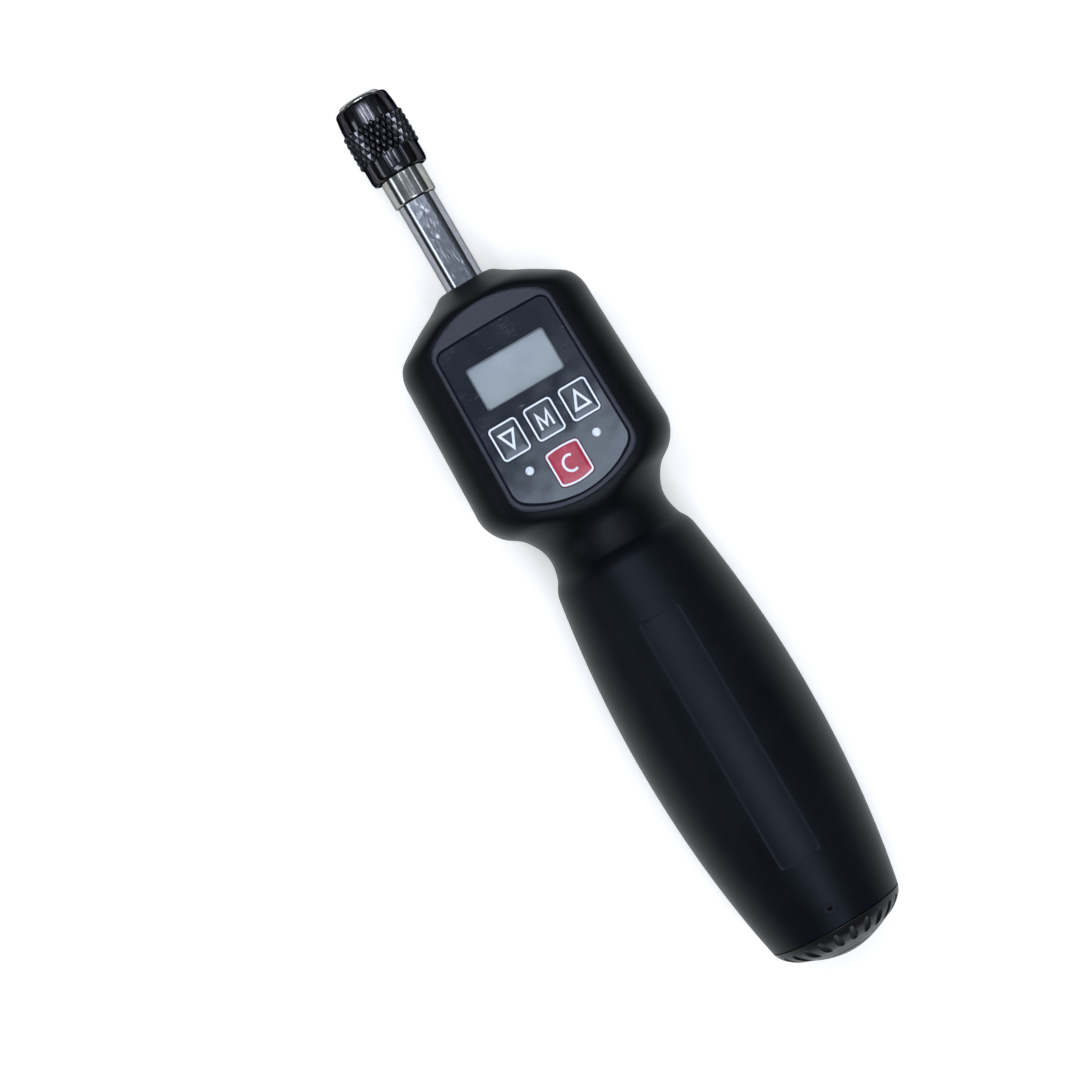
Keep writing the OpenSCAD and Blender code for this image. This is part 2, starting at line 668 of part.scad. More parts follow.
module lcd_backlight() color("white") raised(lcd_at, board_top, board_top + backlight_t - seat)
    square([lcd_w + lcd_margin, lcd_l + lcd_margin], center = true);

// A key: a cap with a stepped, pillow-like top over its stem
key_top = pocket_floor + panel_t + key_edge / 2;
module key_at(x, at) {
    raised(at, face_wall + seat, key_top - key_cap_t + seat, x) circle(d = key_stem_d);
    raised(at, key_top - key_cap_t, key_top - key_edge, x) children(0);
    raised(at, key_top - key_edge - seat, key_top, x) children(1);
}
module upper_key(x) color([0.1, 0.11, 0.14]) key_at(x, key_row_at) {
    key_outline();
    key_outline(-key_edge * 2);
}
module down_key() upper_key(-key_pitch);
module mode_key() upper_key(0);
module up_key() upper_key(key_pitch);
module clear_key() color([0.69, 0.12, 0.2]) key_at(0, clear_at) {
    clear_outline();
    clear_outline(-key_edge * 2);
}
plunger_top = face_wall + seat - key_travel - plunger_gap;
module key_switches() color("dimgray") for (s = key_spots) {
    raised(s[1], board_top, board_top + switch_h, s[0]) square(switch_w, center = true);
    raised(s[1], board_top + switch_h - seat, plunger_top, s[0]) circle(d = plunger_d);
}
module light_pipes() color([0.9, 0.9, 0.92]) for (x = [-light_x, light_x])
    raised(light_at, board_top + led_chip_h + seat, pocket_floor + panel_t + seat, x) circle(d = light_d);
module status_leds() color("white") for (x = [-light_x, light_x])
    raised(light_at, board_top, board_top + led_chip_h, x) square(led_chip, center = true);

module main_board() color([0.05, 0.3, 0.15]) difference() {
    raised(board_at + board_l / 2, board_under, board_top)
        polygon(rounded_box(board_w, board_l, board_corner));
    for (x = [-head_screw_x, head_screw_x]) for (at = head_screw_ats)
        raised(at, 0, face_h, x) circle(d = head_screw_post_d + board_post_gap * 2);
    for (s = board_screw_spots) for (x = [-s[0], s[0]]) raised(s[1], 0, face_h, x) circle(d = board_hole_d);
}
module board_screws() color("silver") for (s = board_screw_spots) for (x = [-s[0], s[0]])
    translate([x, -s[1], board_under - board_screw_d / 2])
        screw(board_screw_d, board_screw_head_d, board_screw_d / 2, board_screw_l - seat * 2);
board_under = board_top - board_t;
module controller_chip() color([0.08, 0.08, 0.08])
    raised(chip_spot[1], board_under - chip_t, board_under, chip_spot[0]) square(chip_w, center = true);
module buzzer() color([0.1, 0.1, 0.1])
    raised(buzzer_spot[1], board_under - buzzer_h, board_under, buzzer_spot[0]) difference() {
        circle(d = buzzer_d);
        circle(d = lead_d);
    }

// The places of the four screws that hold the sensor to the handle
module around_screws(at) for (turn = [45:90:315])
    along(at) rotate(turn) translate([sensor_screw_at, 0, 0]) children();
module torque_sensor() color("lightsteelblue") difference() {
    turned([[hub_spigot_d / 2 + seat, hub_at], [hub_d / 2, hub_at], [hub_d / 2, hub_at + hub_l],
        [sensor_tube_d / 2, hub_at + hub_l + gauge_t * 3], [sensor_tube_d / 2, sensor_end - sensor_flange_l],
        [sensor_flange_d / 2, sensor_end - sensor_flange_l], [sensor_flange_d / 2, sensor_end],
        [sensor_bore_d / 2, sensor_end], [sensor_bore_d / 2, hub_at + hub_l],
        [hub_spigot_d / 2 + seat, hub_at + hub_l]]);
    cross_rod(hub_at + hub_l / 2, hub_d + over, sensor_pin_d + seat);
    around_screws(sensor_end - sensor_flange_l - over)
        cylinder(h = sensor_flange_l + over * 2, d = sensor_screw_d + seat * 2);
    for (x = [-lead_x, lead_x]) translate([x, -sensor_end + sensor_flange_l + over, lead_z])
        rotate([90, 0, 0]) cylinder(h = sensor_flange_l + over * 2, d = lead_d + seat * 4);
    // The flange's top is milled flat under the board
    translate([-sensor_flange_d / 2, -sensor_end - over, board_under - board_flat_gap])
        cube([sensor_flange_d, sensor_flange_l + over * 2, sensor_flange_d]);
}
module strain_gauges() color("orange") for (turn = [0:90:270]) intersection() {
    difference() {
        rod(gauge_at, gauge_l, sensor_tube_d + gauge_t * 2);
        rod(gauge_at - over, gauge_l + over * 2, sensor_tube_d);
    }
    along(gauge_at - over) rotate(turn) translate([0, -gauge_w / 2, 0])
        cube([sensor_tube_d, gauge_w, gauge_l + over * 2]);
}
module sensor_pin() color("gray") cross_rod(hub_at + hub_l / 2, hub_d - seat * 2, sensor_pin_d);
module sensor_screws() color("dimgray") around_screws(sensor_end - sensor_flange_l - sensor_screw_d / 2)
    screw(sensor_screw_d, sensor_screw_d * 1.6, sensor_screw_d / 2, sensor_screw_l);
gauge_top = sensor_tube_d / 2 + gauge_t;
module sensor_leads() color("white") for (x = [-lead_d, lead_d]) wire([
    [x, -gauge_at - gauge_l / 2, gauge_top], [x, -gauge_at - gauge_l / 2, mix(gauge_top, board_under, 0.3)],
    [x, -gauge_at - gauge_l / 4, mix(gauge_top, board_under, 0.6)],
    [x, -gauge_at, mix(gauge_top, board_under, 0.8)], [x, -gauge_at, board_under]],
    lead_d * 0.7, lead_sides, [1, 0, 0]);

// Outer radius of the grip at a distance from the socket's mouth
function grip_r(at) =
    let(s = at - seam_at, chord = belly_r - grip_front_r - shoulder_drop,
        front_r = belly_r - chord * pow(max(belly_at - s, 0) / belly_at, front_power_share),
        rear_r = belly_r
            - (belly_r - tail_r) * pow(max(s - belly_at, 0) / (grip_l - belly_at), rear_power_share))
    (s < belly_at ? front_r : rear_r) - shoulder_drop * pow(max(1 - s / shoulder_l, 0), 2);
grip_stations = concat([for (i = [0:3]) seam_at + shoulder_l * i / 3],
    [for (i = [1:grip_steps]) mix(seam_at + shoulder_l, cap_at, i / grip_steps)]);

module handle_core() color([0.2, 0.2, 0.22]) difference() {
    turned(concat(
        [[wire_way_d / 2, sensor_end + seat], [flange_d / 2, sensor_end + seat],
            [flange_d / 2, sensor_end + flange_l], [neck_core_d / 2, sensor_end + flange_l],
            [neck_core_d / 2, seam_at + seat]],
        [for (at = grip_stations) [grip_r(at) - grip_wall, at + (at == seam_at ? seat : 0)]],
        [[bay_r, cap_at], [bay_r, bay_at], [wire_way_d / 2, bay_at]]));
    around_screws(sensor_end - over)
        cylinder(h = sensor_screw_l - sensor_flange_l + over * 2, d = sensor_screw_d + seat);
    translate([0, -set_screw_at, 0]) cylinder(h = belly_d, d = set_screw_d + seat);
}

module pad_cut() translate([pad_w / 2, 0, 0]) rotate([0, -90, 0]) linear_extrude(pad_w) polygon(concat(
    [for (i = [0:grip_steps]) let(at = mix(pad_at, pad_at + pad_l, i / grip_steps))
        [grip_r(at) - pad_drop, -at]],
    [[belly_r + over, -pad_at - pad_l], [belly_r + over, -pad_at]]));
module grip_sleeve() color([0.05, 0.05, 0.06]) difference() {
    turned(concat([for (at = grip_stations) [grip_r(at), at + (at == seam_at ? seat : 0)]],
        [for (i = [len(grip_stations) - 1:-1:0]) let(at = grip_stations[i])
            [grip_r(at) - grip_wall + seat, at + (i == 0 ? seat : 0)]]));
    pad_cut();
    translate([0, -set_screw_at, 0]) cylinder(h = belly_d, d = access_d);
}

module battery_cradle() color([0.75, 0.75, 0.72]) difference() {
    union() {
        rod(plate_at, plate_l, ring_r * 2);
        rod(rear_plate_at, plate_l, ring_r * 2);
        difference() {
            rod(plate_at, rear_plate_at - plate_at + over, ring_r * 2);
            rod(plate_at - over, rear_plate_at - plate_at + over * 3, cell_d + cell_gap * 4);
            translate([-bay_r, -rear_plate_at - over * 2, 0])
                cube([bay_r * 2, rear_plate_at - plate_at + over * 4, bay_r]);
        }
    }
    for (x = [-lead_x, lead_x]) translate([x, -plate_at + over, lead_z]) rotate([90, 0, 0])
        cylinder(h = plate_l + over * 2, d = lead_d + seat * 2);
    for (x = [-1, 1]) translate([x * bulkhead_screw_x, -rear_plate_at + over, 0]) rotate([90, 0, 0])
        cylinder(h = plate_l + over * 2, d = bulkhead_screw_d + seat);
}
module battery() color([0.25, 0.4, 0.62]) union() {
    rod(cell_at, cell_l, cell_d);
    rod(cell_at - nub_l, nub_l + over, nub_d);
}
module front_contact() color("silver") rod(contact_at, contact_t, contact_d);
module rear_contact_spring() color("silver") coil(cell_end + seat, spring_room - seat * 2,
    nub_d / 2, contact_d / 2, contact_wire, contact_turns, spring_steps);
lead_end = gauge_at + gauge_l + lead_z;
module battery_leads() color("firebrick") for (x = [-lead_x, lead_x]) wire([
    [x, -plate_at - plate_l, lead_z], [x, -sensor_end, lead_z], [x, -lead_end - lead_z / 2, lead_z],
    [x, -lead_end - lead_z / 8, mix(lead_z, board_under, 0.15)],
    [x, -lead_end, mix(lead_z, board_under, 0.45)], [x, -lead_end, board_under]],
    lead_d, lead_sides, [1, 0, 0]);

bulkhead_screw_x = (post_d / 2 + ring_r - bulkhead_ring_t) / 2;
bulkhead_screw_head_d = ring_r - bulkhead_ring_t - post_d / 2 - bulkhead_screw_head_gap * 2;
module rear_bulkhead() color([0.15, 0.15, 0.16]) difference() {
    web = bulkhead_at + bulkhead_l;
    turned([[post_bore_d / 2, bulkhead_at], [ring_r, bulkhead_at], [ring_r, web + bulkhead_ring_l],
        [ring_r - bulkhead_ring_t, web + bulkhead_ring_l], [ring_r - bulkhead_ring_t, web],
        [post_d / 2, web], [post_d / 2, web + post_l], [post_bore_d / 2, web + post_l]]);
    for (x = [-1, 1]) translate([x * bulkhead_screw_x, -bulkhead_at + over, 0]) rotate([90, 0, 0])
        cylinder(h = bulkhead_l + over * 2, d = bulkhead_screw_d + seat * 2);
    translate([0, -set_screw_at, 0]) cylinder(h = belly_d, d = set_screw_d + seat);
}
module bulkhead_screws() color("silver") for (x = [-1, 1])
    translate([x * bulkhead_screw_x, -bulkhead_at - bulkhead_l - bulkhead_screw_head_l, 0])
        rotate([-90, 0, 0])
            screw(bulkhead_screw_d, bulkhead_screw_head_d, bulkhead_screw_head_l, bulkhead_l + plate_l);
module bulkhead_set_screw() color("dimgray")
    translate([0, -set_screw_at, ring_r - bulkhead_ring_t + seat * 2]) difference() {
        cylinder(h = set_screw_l, d = set_screw_d);
        translate([0, 0, set_screw_l / 2]) cylinder(h = set_screw_l, d = set_screw_hex, $fn = 6);
    }

module charge_board() color([0.05, 0.3, 0.15]) rod(charge_board_at, charge_board_t, charge_board_d);
jack_at = charge_board_at + charge_board_t + seat;
jack_end = cap_at + cap_l - jack_back;
module charge_jack() color([0.1, 0.1, 0.1]) {
    difference() {
        rod(jack_at, jack_end - jack_at, jack_d);
        rod(jack_at + jack_back, jack_end - jack_at, jack_bore_d);
    }
    rod(jack_at + over / 2, jack_end - jack_at - over, jack_pin_d);
}

module end_cap() {
    dome = [for (s = cap_shares) [tail_r * s[1], cap_front + (cap_l - cap_seam) * s[0]]];
    end = dome[len(dome) - 1][1];
    hole_r = jack_d / 2 + run * 3;
    spigot_r = cap_thread_r - cap_spigot_t;
    color([0.06, 0.06, 0.07]) difference() {
        turned(concat([[spigot_r, cap_front - cap_spigot_l], [cap_thread_r, cap_front - cap_spigot_l],
            [cap_thread_r, cap_front]], dome,
            [[hole_r, end], [hole_r, end - cap_wall], [spigot_r, cap_front + cap_wall]]));
        for (i = [0:flutes - 1]) along(cap_front) rotate(360 * (i + 0.5) / flutes)
            translate([tail_r * flute_at_share, 0, cap_l * flute_d_share]) rotate([0, -flute_tilt, 0])
                translate([0, 0, -flute_l / 2]) cylinder(h = flute_l, d = flute_w);
    }
}
module cap_o_ring() color([0.05, 0.05, 0.05]) along(cap_at - o_ring_d / 2 - seat) rotate_extrude()
    translate([cap_thread_r + seat + o_ring_d / 2, 0]) circle(d = o_ring_d - seat);

chuck_body();
chuck_sleeve();
sleeve_spring();
sleeve_stop_ring();
spring_seat_ring();
locking_ball();
bit_magnet();
chuck_pin();
output_shaft();
shaft_seal();
nose_bush();
head_front_cover();
head_back_cover();
head_screws();
bezel();
front_panel();
lcd_window();
lcd_module();
lcd_backlight();
down_key();
mode_key();
up_key();
clear_key();
key_switches();
light_pipes();
status_leds();
main_board();
board_screws();
controller_chip();
buzzer();
torque_sensor();
strain_gauges();
sensor_pin();
sensor_screws();
sensor_leads();
handle_core();
grip_sleeve();
battery_cradle();
battery();
front_contact();
rear_contact_spring();
battery_leads();
rear_bulkhead();
bulkhead_screws();
bulkhead_set_screw();
charge_board();
charge_jack();
end_cap();
cap_o_ring();
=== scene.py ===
import bmesh
import bpy
import math
from mathutils import Matrix, Vector


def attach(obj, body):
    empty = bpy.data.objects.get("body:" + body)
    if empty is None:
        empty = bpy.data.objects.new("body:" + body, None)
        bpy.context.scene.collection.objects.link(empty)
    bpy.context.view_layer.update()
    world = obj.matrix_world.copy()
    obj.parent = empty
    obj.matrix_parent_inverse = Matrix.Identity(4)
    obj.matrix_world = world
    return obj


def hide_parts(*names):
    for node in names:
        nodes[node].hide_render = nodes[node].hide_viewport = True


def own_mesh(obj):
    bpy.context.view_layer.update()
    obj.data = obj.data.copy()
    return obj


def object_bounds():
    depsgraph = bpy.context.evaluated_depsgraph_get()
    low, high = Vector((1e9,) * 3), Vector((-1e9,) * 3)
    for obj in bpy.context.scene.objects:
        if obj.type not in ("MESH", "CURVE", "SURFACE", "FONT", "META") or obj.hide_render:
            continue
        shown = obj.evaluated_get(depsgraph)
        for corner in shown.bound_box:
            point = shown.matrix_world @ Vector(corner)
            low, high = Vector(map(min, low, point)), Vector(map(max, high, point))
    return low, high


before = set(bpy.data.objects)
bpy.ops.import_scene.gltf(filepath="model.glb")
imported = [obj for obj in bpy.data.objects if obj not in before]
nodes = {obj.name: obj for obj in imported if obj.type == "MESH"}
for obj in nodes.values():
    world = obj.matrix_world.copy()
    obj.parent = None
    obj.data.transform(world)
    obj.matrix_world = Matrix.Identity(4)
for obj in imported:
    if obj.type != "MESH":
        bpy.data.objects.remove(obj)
cad_low, cad_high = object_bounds()
scene = bpy.context.scene


# The table and the light. The tester lies on its back on a plain white table, seen from straight above
# through a long lens. A ceiling panel lights the grip, with bars ahead of the chuck and strips at the sides.
MM = 0.001
LENS, SENSOR, NEAREST, FARTHEST = 113.4, 36.0, 0.05, 20.0
EYE = Vector((-0.8, -107.0, 775.8)) * MM
AIM = Vector((-14.72, -107.69, 0.0)) * MM
UP = Vector((0.5041, 0.8637, 0.0))
TABLE_SIZE, TABLE_GAP, TABLE_GLOW, FADE_FROM, FADE_TO = 6.0, 0.05, 0.28, 400.0, 1200.0
# Each lamp: name, centre, size across and along the tool, turn, and its brightness beside a white surface's
LAMPS = (("ceiling_panel", (0.07, -0.575, 1.2), (0.46, 1.0), 0.35, 6.6),
         ("front_glow", (-0.02, 0.355, 1.22), (1.16, 0.46), 0.0, 2.6),
         ("front_bar_left", (-0.30, 0.322, 1.2), (0.11, 0.46), 0.0, 12.0),
         ("front_bar_middle", (-0.03, 0.355, 1.2), (0.08, 0.46), 0.0, 12.0),
         ("front_bar_right", (0.34, 0.322, 1.2), (0.07, 0.46), 0.0, 12.0),
         ("left_strip", (-1.05, -0.1, 0.60), (0.24, 0.8), 0.0, 3.5),
         ("right_strip", (0.86, -0.1, 0.70), (0.05, 0.8), 0.0, 5.0))
COOL = (0.86, 0.93, 1.0)

camera = bpy.data.objects.new("camera", bpy.data.cameras.new("camera"))
scene.collection.objects.link(camera)
scene.camera = camera
camera.data.lens, camera.data.sensor_width = LENS, SENSOR
camera.data.clip_start, camera.data.clip_end = NEAREST, FARTHEST
ahead = (AIM - EYE).normalized()
right = ahead.cross(UP).normalized()
facing = Matrix((right, right.cross(ahead), -ahead)).transposed()
camera.matrix_world = Matrix.Translation(EYE) @ facing.to_4x4()

for name, centre, (across, along), turn, brightness in LAMPS:
    lamp = bpy.data.objects.new(name, bpy.data.lights.new(name, "AREA"))
    lamp.data.shape, lamp.data.size, lamp.data.size_y = "RECTANGLE", across, along
    lamp.data.energy, lamp.data.color = brightness * math.pi * across * along, COOL
    lengthways = Vector((0.0, 1.0, 0.0))
    backwards = Vector((centre[0], 0.0, centre[2])).normalized()
    facing = Matrix((lengthways.cross(backwards).normalized(), lengthways, backwards)).transposed()
    lamp.matrix_world = Matrix.Translation(centre) @ facing.to_4x4() @ Matrix.Rotation(turn, 4, "Z")
    scene.collection.objects.link(lamp)


class Wiring:
    """A node tree that is written as calls and sums."""

    def node(self, kind, settings=None, sockets=()):
        made = self.tree.nodes.new(kind)
        for key, value in (settings or {}).items():
            setattr(made, key, value)
        for key, value in sockets.items() if isinstance(sockets, dict) else enumerate(sockets):
            value = getattr(value, "socket", value)
            if isinstance(value, bpy.types.NodeSocket):
                self.tree.links.new(value, made.inputs[key])
            else:
                made.inputs[key].default_value = value
        return made

    def number(self, operation, *terms):
        return Reading(self, self.node("ShaderNodeMath", {"operation": operation}, terms).outputs[0])


class Reading:
    """One number that changes over a surface, for use in ordinary sums."""

    def __init__(self, wiring, socket):
        self.wiring, self.socket = wiring, socket

    def __add__(self, other):
        return self.wiring.number("ADD", self, other)

    def __sub__(self, other):
        return self.wiring.number("SUBTRACT", self, other)

    def __rsub__(self, other):
        return self.wiring.number("SUBTRACT", other, self)

    def __mul__(self, other):
        return self.wiring.number("MULTIPLY", self, other)

    def __truediv__(self, other):
        return self.wiring.number("DIVIDE", self, other)

    def __pow__(self, other):
        return self.wiring.number("POWER", self, other)

    __radd__, __rmul__ = __add__, __mul__

    def unsigned(self):
        return self.wiring.number("ABSOLUTE", self)

    def between(self, low, high):
        """0 up to low, 1 from high, and smooth in between; low may be the larger."""
        made = self.wiring.node("ShaderNodeMapRange", {"interpolation_type": "SMOOTHSTEP"}, (self, low, high))
        return Reading(self.wiring, made.outputs[0])


class Finish(Wiring):
    """A material made of one Principled shader; what is the same all over goes straight on its sockets."""

    def __init__(self, name, **constants):
        self.material = bpy.data.materials.new(name)
        self.material.use_nodes = True
        self.tree = self.material.node_tree
        self.shader = self.tree.nodes["Principled BSDF"]
        self.place = self.node("ShaderNodeTexCoord").outputs["Object"]
        for key, value in constants.items():
            words = {"ior": "IOR", "specular": "Specular IOR Level", "colour": "Base Color"}
            value = (*value, 1.0) if isinstance(value, tuple) else value
            self.shader.inputs[words.get(key, key.replace("_", " ").title())].default_value = value

    def xyz(self):
        parts = self.node("ShaderNodeSeparateXYZ", None, (self.place,)).outputs
        return [Reading(self, part) * (1 / MM) for part in parts]

    def from_axis(self):
        """How many millimetres a point lies from the drive axis."""
        x, _, z = self.xyz()
        return (x * x + z * z) ** 0.5

    def grain(self, per_mm, detail=2.0, stretch=(1.0, 1.0, 1.0), rough=0.5):
        """Noise of about per_mm blotches a millimetre, drawn out where a stretch is under 1."""
        drawn = self.node("ShaderNodeVectorMath", {"operation": "MULTIPLY"}, (self.place, stretch)).outputs[0]
        made = self.node("ShaderNodeTexNoise", None,
                         {"Vector": drawn, "Scale": per_mm / MM, "Detail": detail, "Roughness": rough})
        return Reading(self, made.outputs[0])

    def colours(self, share, *stops):
        """A colour ramp over a reading; each stop is a place and a colour."""
        made = self.node("ShaderNodeValToRGB", None, (share,))
        for k, (place, colour) in enumerate(stops):
            band = made.color_ramp.elements[k] if k < 2 else made.color_ramp.elements.new(place)
            band.position, band.color = place, (*colour, 1.0)
        return made.outputs[0]

    def mixed(self, share, low, high):
        """One colour over another, as far as a reading says."""
        low, high = [(*c, 1.0) if isinstance(c, tuple) else c for c in (low, high)]
        return self.node("ShaderNodeMix", {"data_type": "RGBA"}, {0: share, 6: low, 7: high}).outputs[2]

    def feed(self, **readings):
        for key, value in readings.items():
            socket = self.shader.inputs[{"colour": "Base Color"}.get(key, key.replace("_", " ").title())]
            self.tree.links.new(getattr(value, "socket", value), socket)

    def relief(self, height, depth_mm):
        """Small unevenness of the surface, from a reading of 0 to 1."""
        sockets = {"Height": height, "Distance": depth_mm * MM, "Strength": 1.0}
        self.feed(normal=self.node("ShaderNodeBump", None, sockets).outputs[0])

    def on(self, *pieces):
        for piece in pieces:
            piece.data.materials.clear()
            piece.data.materials.append(self.material)


table = bpy.data.objects.new("table", bpy.data.meshes.new("table"))
corners = [(x * TABLE_SIZE / 2, y * TABLE_SIZE / 2) for x, y in ((-1, -1), (1, -1), (1, 1), (-1, 1))]
table.data.from_pydata([(x, y, cad_low.z - TABLE_GAP * MM) for x, y in corners], [], [(0, 1, 2, 3)])
scene.collection.objects.link(table)
white = Finish("white_table", colour=(0.90, 0.86, 0.82), roughness=0.7)
rays = white.node("ShaderNodeLightPath").outputs
seen = white.number("MAXIMUM", white.number("MAXIMUM", rays["Is Camera Ray"], rays["Is Glossy Ray"]),
                    rays["Is Transmission Ray"])
white.shader.inputs["Emission Color"].default_value = (1.0, 1.0, 1.0, 1.0)
tx, ty, _ = white.xyz()
far = ((tx * tx + ty * ty) ** 0.5).between(FADE_FROM, FADE_TO)
under = Reading(white, white.node("ShaderNodeNewGeometry").outputs["Backfacing"])
white.feed(emission_strength=seen * TABLE_GLOW + far * Reading(white, rays["Is Camera Ray"]),
           alpha=1.0 - under)
white.on(table)

world = Wiring()
scene.world = bpy.data.worlds.new("room")
scene.world.use_nodes = True
world.tree = scene.world.node_tree
height = Reading(world, world.node("ShaderNodeSeparateXYZ", None, (
    world.node("ShaderNodeTexCoord").outputs["Generated"],)).outputs[2])
ceiling = world.node("ShaderNodeMix", {"data_type": "RGBA"}, {
    0: height.between(0.0, 1.0), 6: (0.06, 0.06, 0.06, 1.0), 7: (0.36, 0.40, 0.48, 1.0)}).outputs[2]
looked_at = world.node("ShaderNodeLightPath").outputs["Is Camera Ray"]
backdrop = world.node("ShaderNodeMix", {"data_type": "RGBA"}, {
    0: looked_at, 6: ceiling, 7: (1.0, 1.0, 1.0, 1.0)}).outputs[2]
world.tree.links.new(backdrop, world.tree.nodes["Background"].inputs["Color"])
scene.view_settings.view_transform = "Standard"


# The chuck's body: a steel bush with a hexagon socket for the bit, turned bright, its mouth standing a
# millimetre out of the sleeve. Its rear end is the polished collar between the sleeve and the shaft.
def skinned(name, loops, joined=False, angle=30.0):
    """A mesh through rings of points in millimetres; its ends are capped, or joined to each other."""
    count, last = len(loops[0]), len(loops) - 1
    faces = [(j * count + i, j * count + (i + 1) % count, k * count + (i + 1) % count, k * count + i)
             for j, k in [(j, (j + 1) % (last + 1)) for j in range(last + joined)]
             for i in range(count)]
    if not joined:
        faces += [tuple(range(count))[::-1], tuple(last * count + i for i in range(count))]
    mesh = bpy.data.meshes.new(name)
    mesh.from_pydata([Vector(p) * MM for loop in loops for p in loop], [], faces)
    piece = bpy.data.objects.new(name, mesh)
    scene.collection.objects.link(piece)
    return cleaned(piece, angle)


def cleaned(piece, angle=30.0, outwards=True):
    """Doubles merged, faces pointing out, and shading smooth up to an angle."""
    work = bmesh.new()
    work.from_mesh(piece.data)
    bmesh.ops.remove_doubles(work, verts=work.verts, dist=1e-6)
    bmesh.ops.dissolve_degenerate(work, edges=work.edges, dist=1e-7)
    if outwards:
        bmesh.ops.recalc_face_normals(work, faces=work.faces)
    work.to_mesh(piece.data)
    work.free()
    piece.data.shade_smooth()
    piece.data.set_sharp_from_angle(angle=math.radians(angle))
    return piece


def eased(corners, steps=4):
    """An outline of (x, y, radius) corners with each one rounded; a radius of 0 stays sharp."""
    points, n = [], len(corners)
    for i, (x, y, radius) in enumerate(corners):
        here = Vector((x, y))
        before, after = [Vector(corners[k % n][:2]) - here for k in (i - 1, i + 1)]
        if not radius or not before.length or not after.length:
            points.append(here)
            continue
        start, end = [here + v.normalized() * min(radius, v.length / 2.01) for v in (before, after)]
        for k in range(steps + 1):
            t = k / steps
            points.append(start * (1 - t) ** 2 + here * 2 * t * (1 - t) + end * t ** 2)
    return points


def full_turn(sides):
    """Evenly spaced angles round a circle."""
    return [2 * math.pi * k / sides for k in range(sides)]


def turned(name, corners, sides=128):
    """A piece turned round the drive axis from corners of (radius, distance from the mouth, rounding)."""
    return skinned(name, [[(r * math.cos(a), -d, r * math.sin(a)) for a in full_turn(sides)]
                          for r, d in eased(corners)], True)


def rod_between(name, start, end, radius, sides=48):
    """A plain round bar between two points, mostly for drilling with."""
    start, end = Vector(start), Vector(end)
    across = (end - start).orthogonal().normalized() * radius
    up = (end - start).normalized().cross(across)
    return skinned(name, [[p + across * math.cos(a) + up * math.sin(a) for a in full_turn(sides)]
                          for p in (start, end)])


def pierced(piece, cutters, angle=30.0):
    """Cuts solids out of a piece and throws the solids away."""
    for cutter in cutters:
        cut = piece.modifiers.new("cut", "BOOLEAN")
        cut.operation, cut.solver, cut.object = "DIFFERENCE", "EXACT", cutter
    settled(piece)
    for cutter in cutters:
        bpy.data.objects.remove(cutter)
    cleaned(piece, angle, False)


def settled(piece):
    """Applies a piece's modifiers."""
    shown = piece.evaluated_get(bpy.context.evaluated_depsgraph_get())
    mesh = bpy.data.meshes.new_from_object(shown)
    piece.modifiers.clear()
    piece.data = mesh


def fitted(piece, body, slot, *replaced):
    """Puts a finished piece on its body in place of the plain solids that it stands for."""
    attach(piece, body)
    if replaced:
        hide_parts(*replaced)


CHUCK_R, CHUCK_L, MOUTH_CHAMFER, REAR_CHAMFER = 5.3, 26.5, 0.5, 0.3
STOP_GROOVE, SEAT_GROOVE, GROOVE_DEPTH = (1.55, 2.35), (16.2, 17.0), 0.35
SHAFT_BORE_R, SHAFT_BORE_FROM = 3.65, 20.65
SOCKET_AF, SOCKET_L, LEAD_IN, LEAD_IN_L, PAST_MOUTH = 6.4, 17.0, 0.3, 0.8, 1.0
BALL_AT, BALL_HOLE_R, MAGNET_TO, MAGNET_R, PIN_AT, PIN_R = 8.0, 1.5, 19.05, 2.95, 23.6, 0.775
WITHIN, BEYOND = 2.0, 7.0
grooved = [(CHUCK_R - depth, at, 0) for groove in (STOP_GROOVE, SEAT_GROOVE)
           for at, depth in zip((groove[0], *groove, groove[1]), (0, GROOVE_DEPTH, GROOVE_DEPTH, 0))]
chuck_body = turned("chuck_body_turned", [
    (0.0, 0.0, 0), (CHUCK_R - MOUTH_CHAMFER, 0.0, 0.25), (CHUCK_R, MOUTH_CHAMFER, 0.35), *grooved,
    (CHUCK_R, CHUCK_L - REAR_CHAMFER, 0.2), (CHUCK_R - REAR_CHAMFER, CHUCK_L, 0.1),
    (SHAFT_BORE_R, CHUCK_L, 0), (SHAFT_BORE_R, SHAFT_BORE_FROM, 0), (0.0, SHAFT_BORE_FROM, 0)])
corner_r = SOCKET_AF / math.sqrt(3)
socket = skinned("socket_cut", [[(corner_r * math.cos(a), y, corner_r * math.sin(a)) for a in full_turn(6)]
                                for y in (PAST_MOUTH, -SOCKET_L)])
lead_in = turned("lead_in_cut", [
    (0.0, -PAST_MOUTH, 0), (corner_r + LEAD_IN + PAST_MOUTH, -PAST_MOUTH, 0),
    (corner_r + LEAD_IN - LEAD_IN_L, LEAD_IN_L, 0), (0.0, LEAD_IN_L, 0)], 64)
pierced(chuck_body, [
    socket, lead_in, rod_between("ball_hole", (0.0, -BALL_AT, WITHIN), (0.0, -BALL_AT, BEYOND), BALL_HOLE_R),
    rod_between("magnet_bore", (0.0, 0.5 - SOCKET_L, 0.0), (0.0, -MAGNET_TO, 0.0), MAGNET_R),
    rod_between("pin_hole", (-BEYOND, -PIN_AT, 0.0), (BEYOND, -PIN_AT, 0.0), PIN_R)])
chrome = Finish("turned_chrome", metallic=1.0, specular_tint=(0.35, 0.35, 0.34))
fine_rings = chrome.grain(2.2, 3.0, (0.05, 6.0, 0.05))
smudge = chrome.grain(0.25, 4.0)
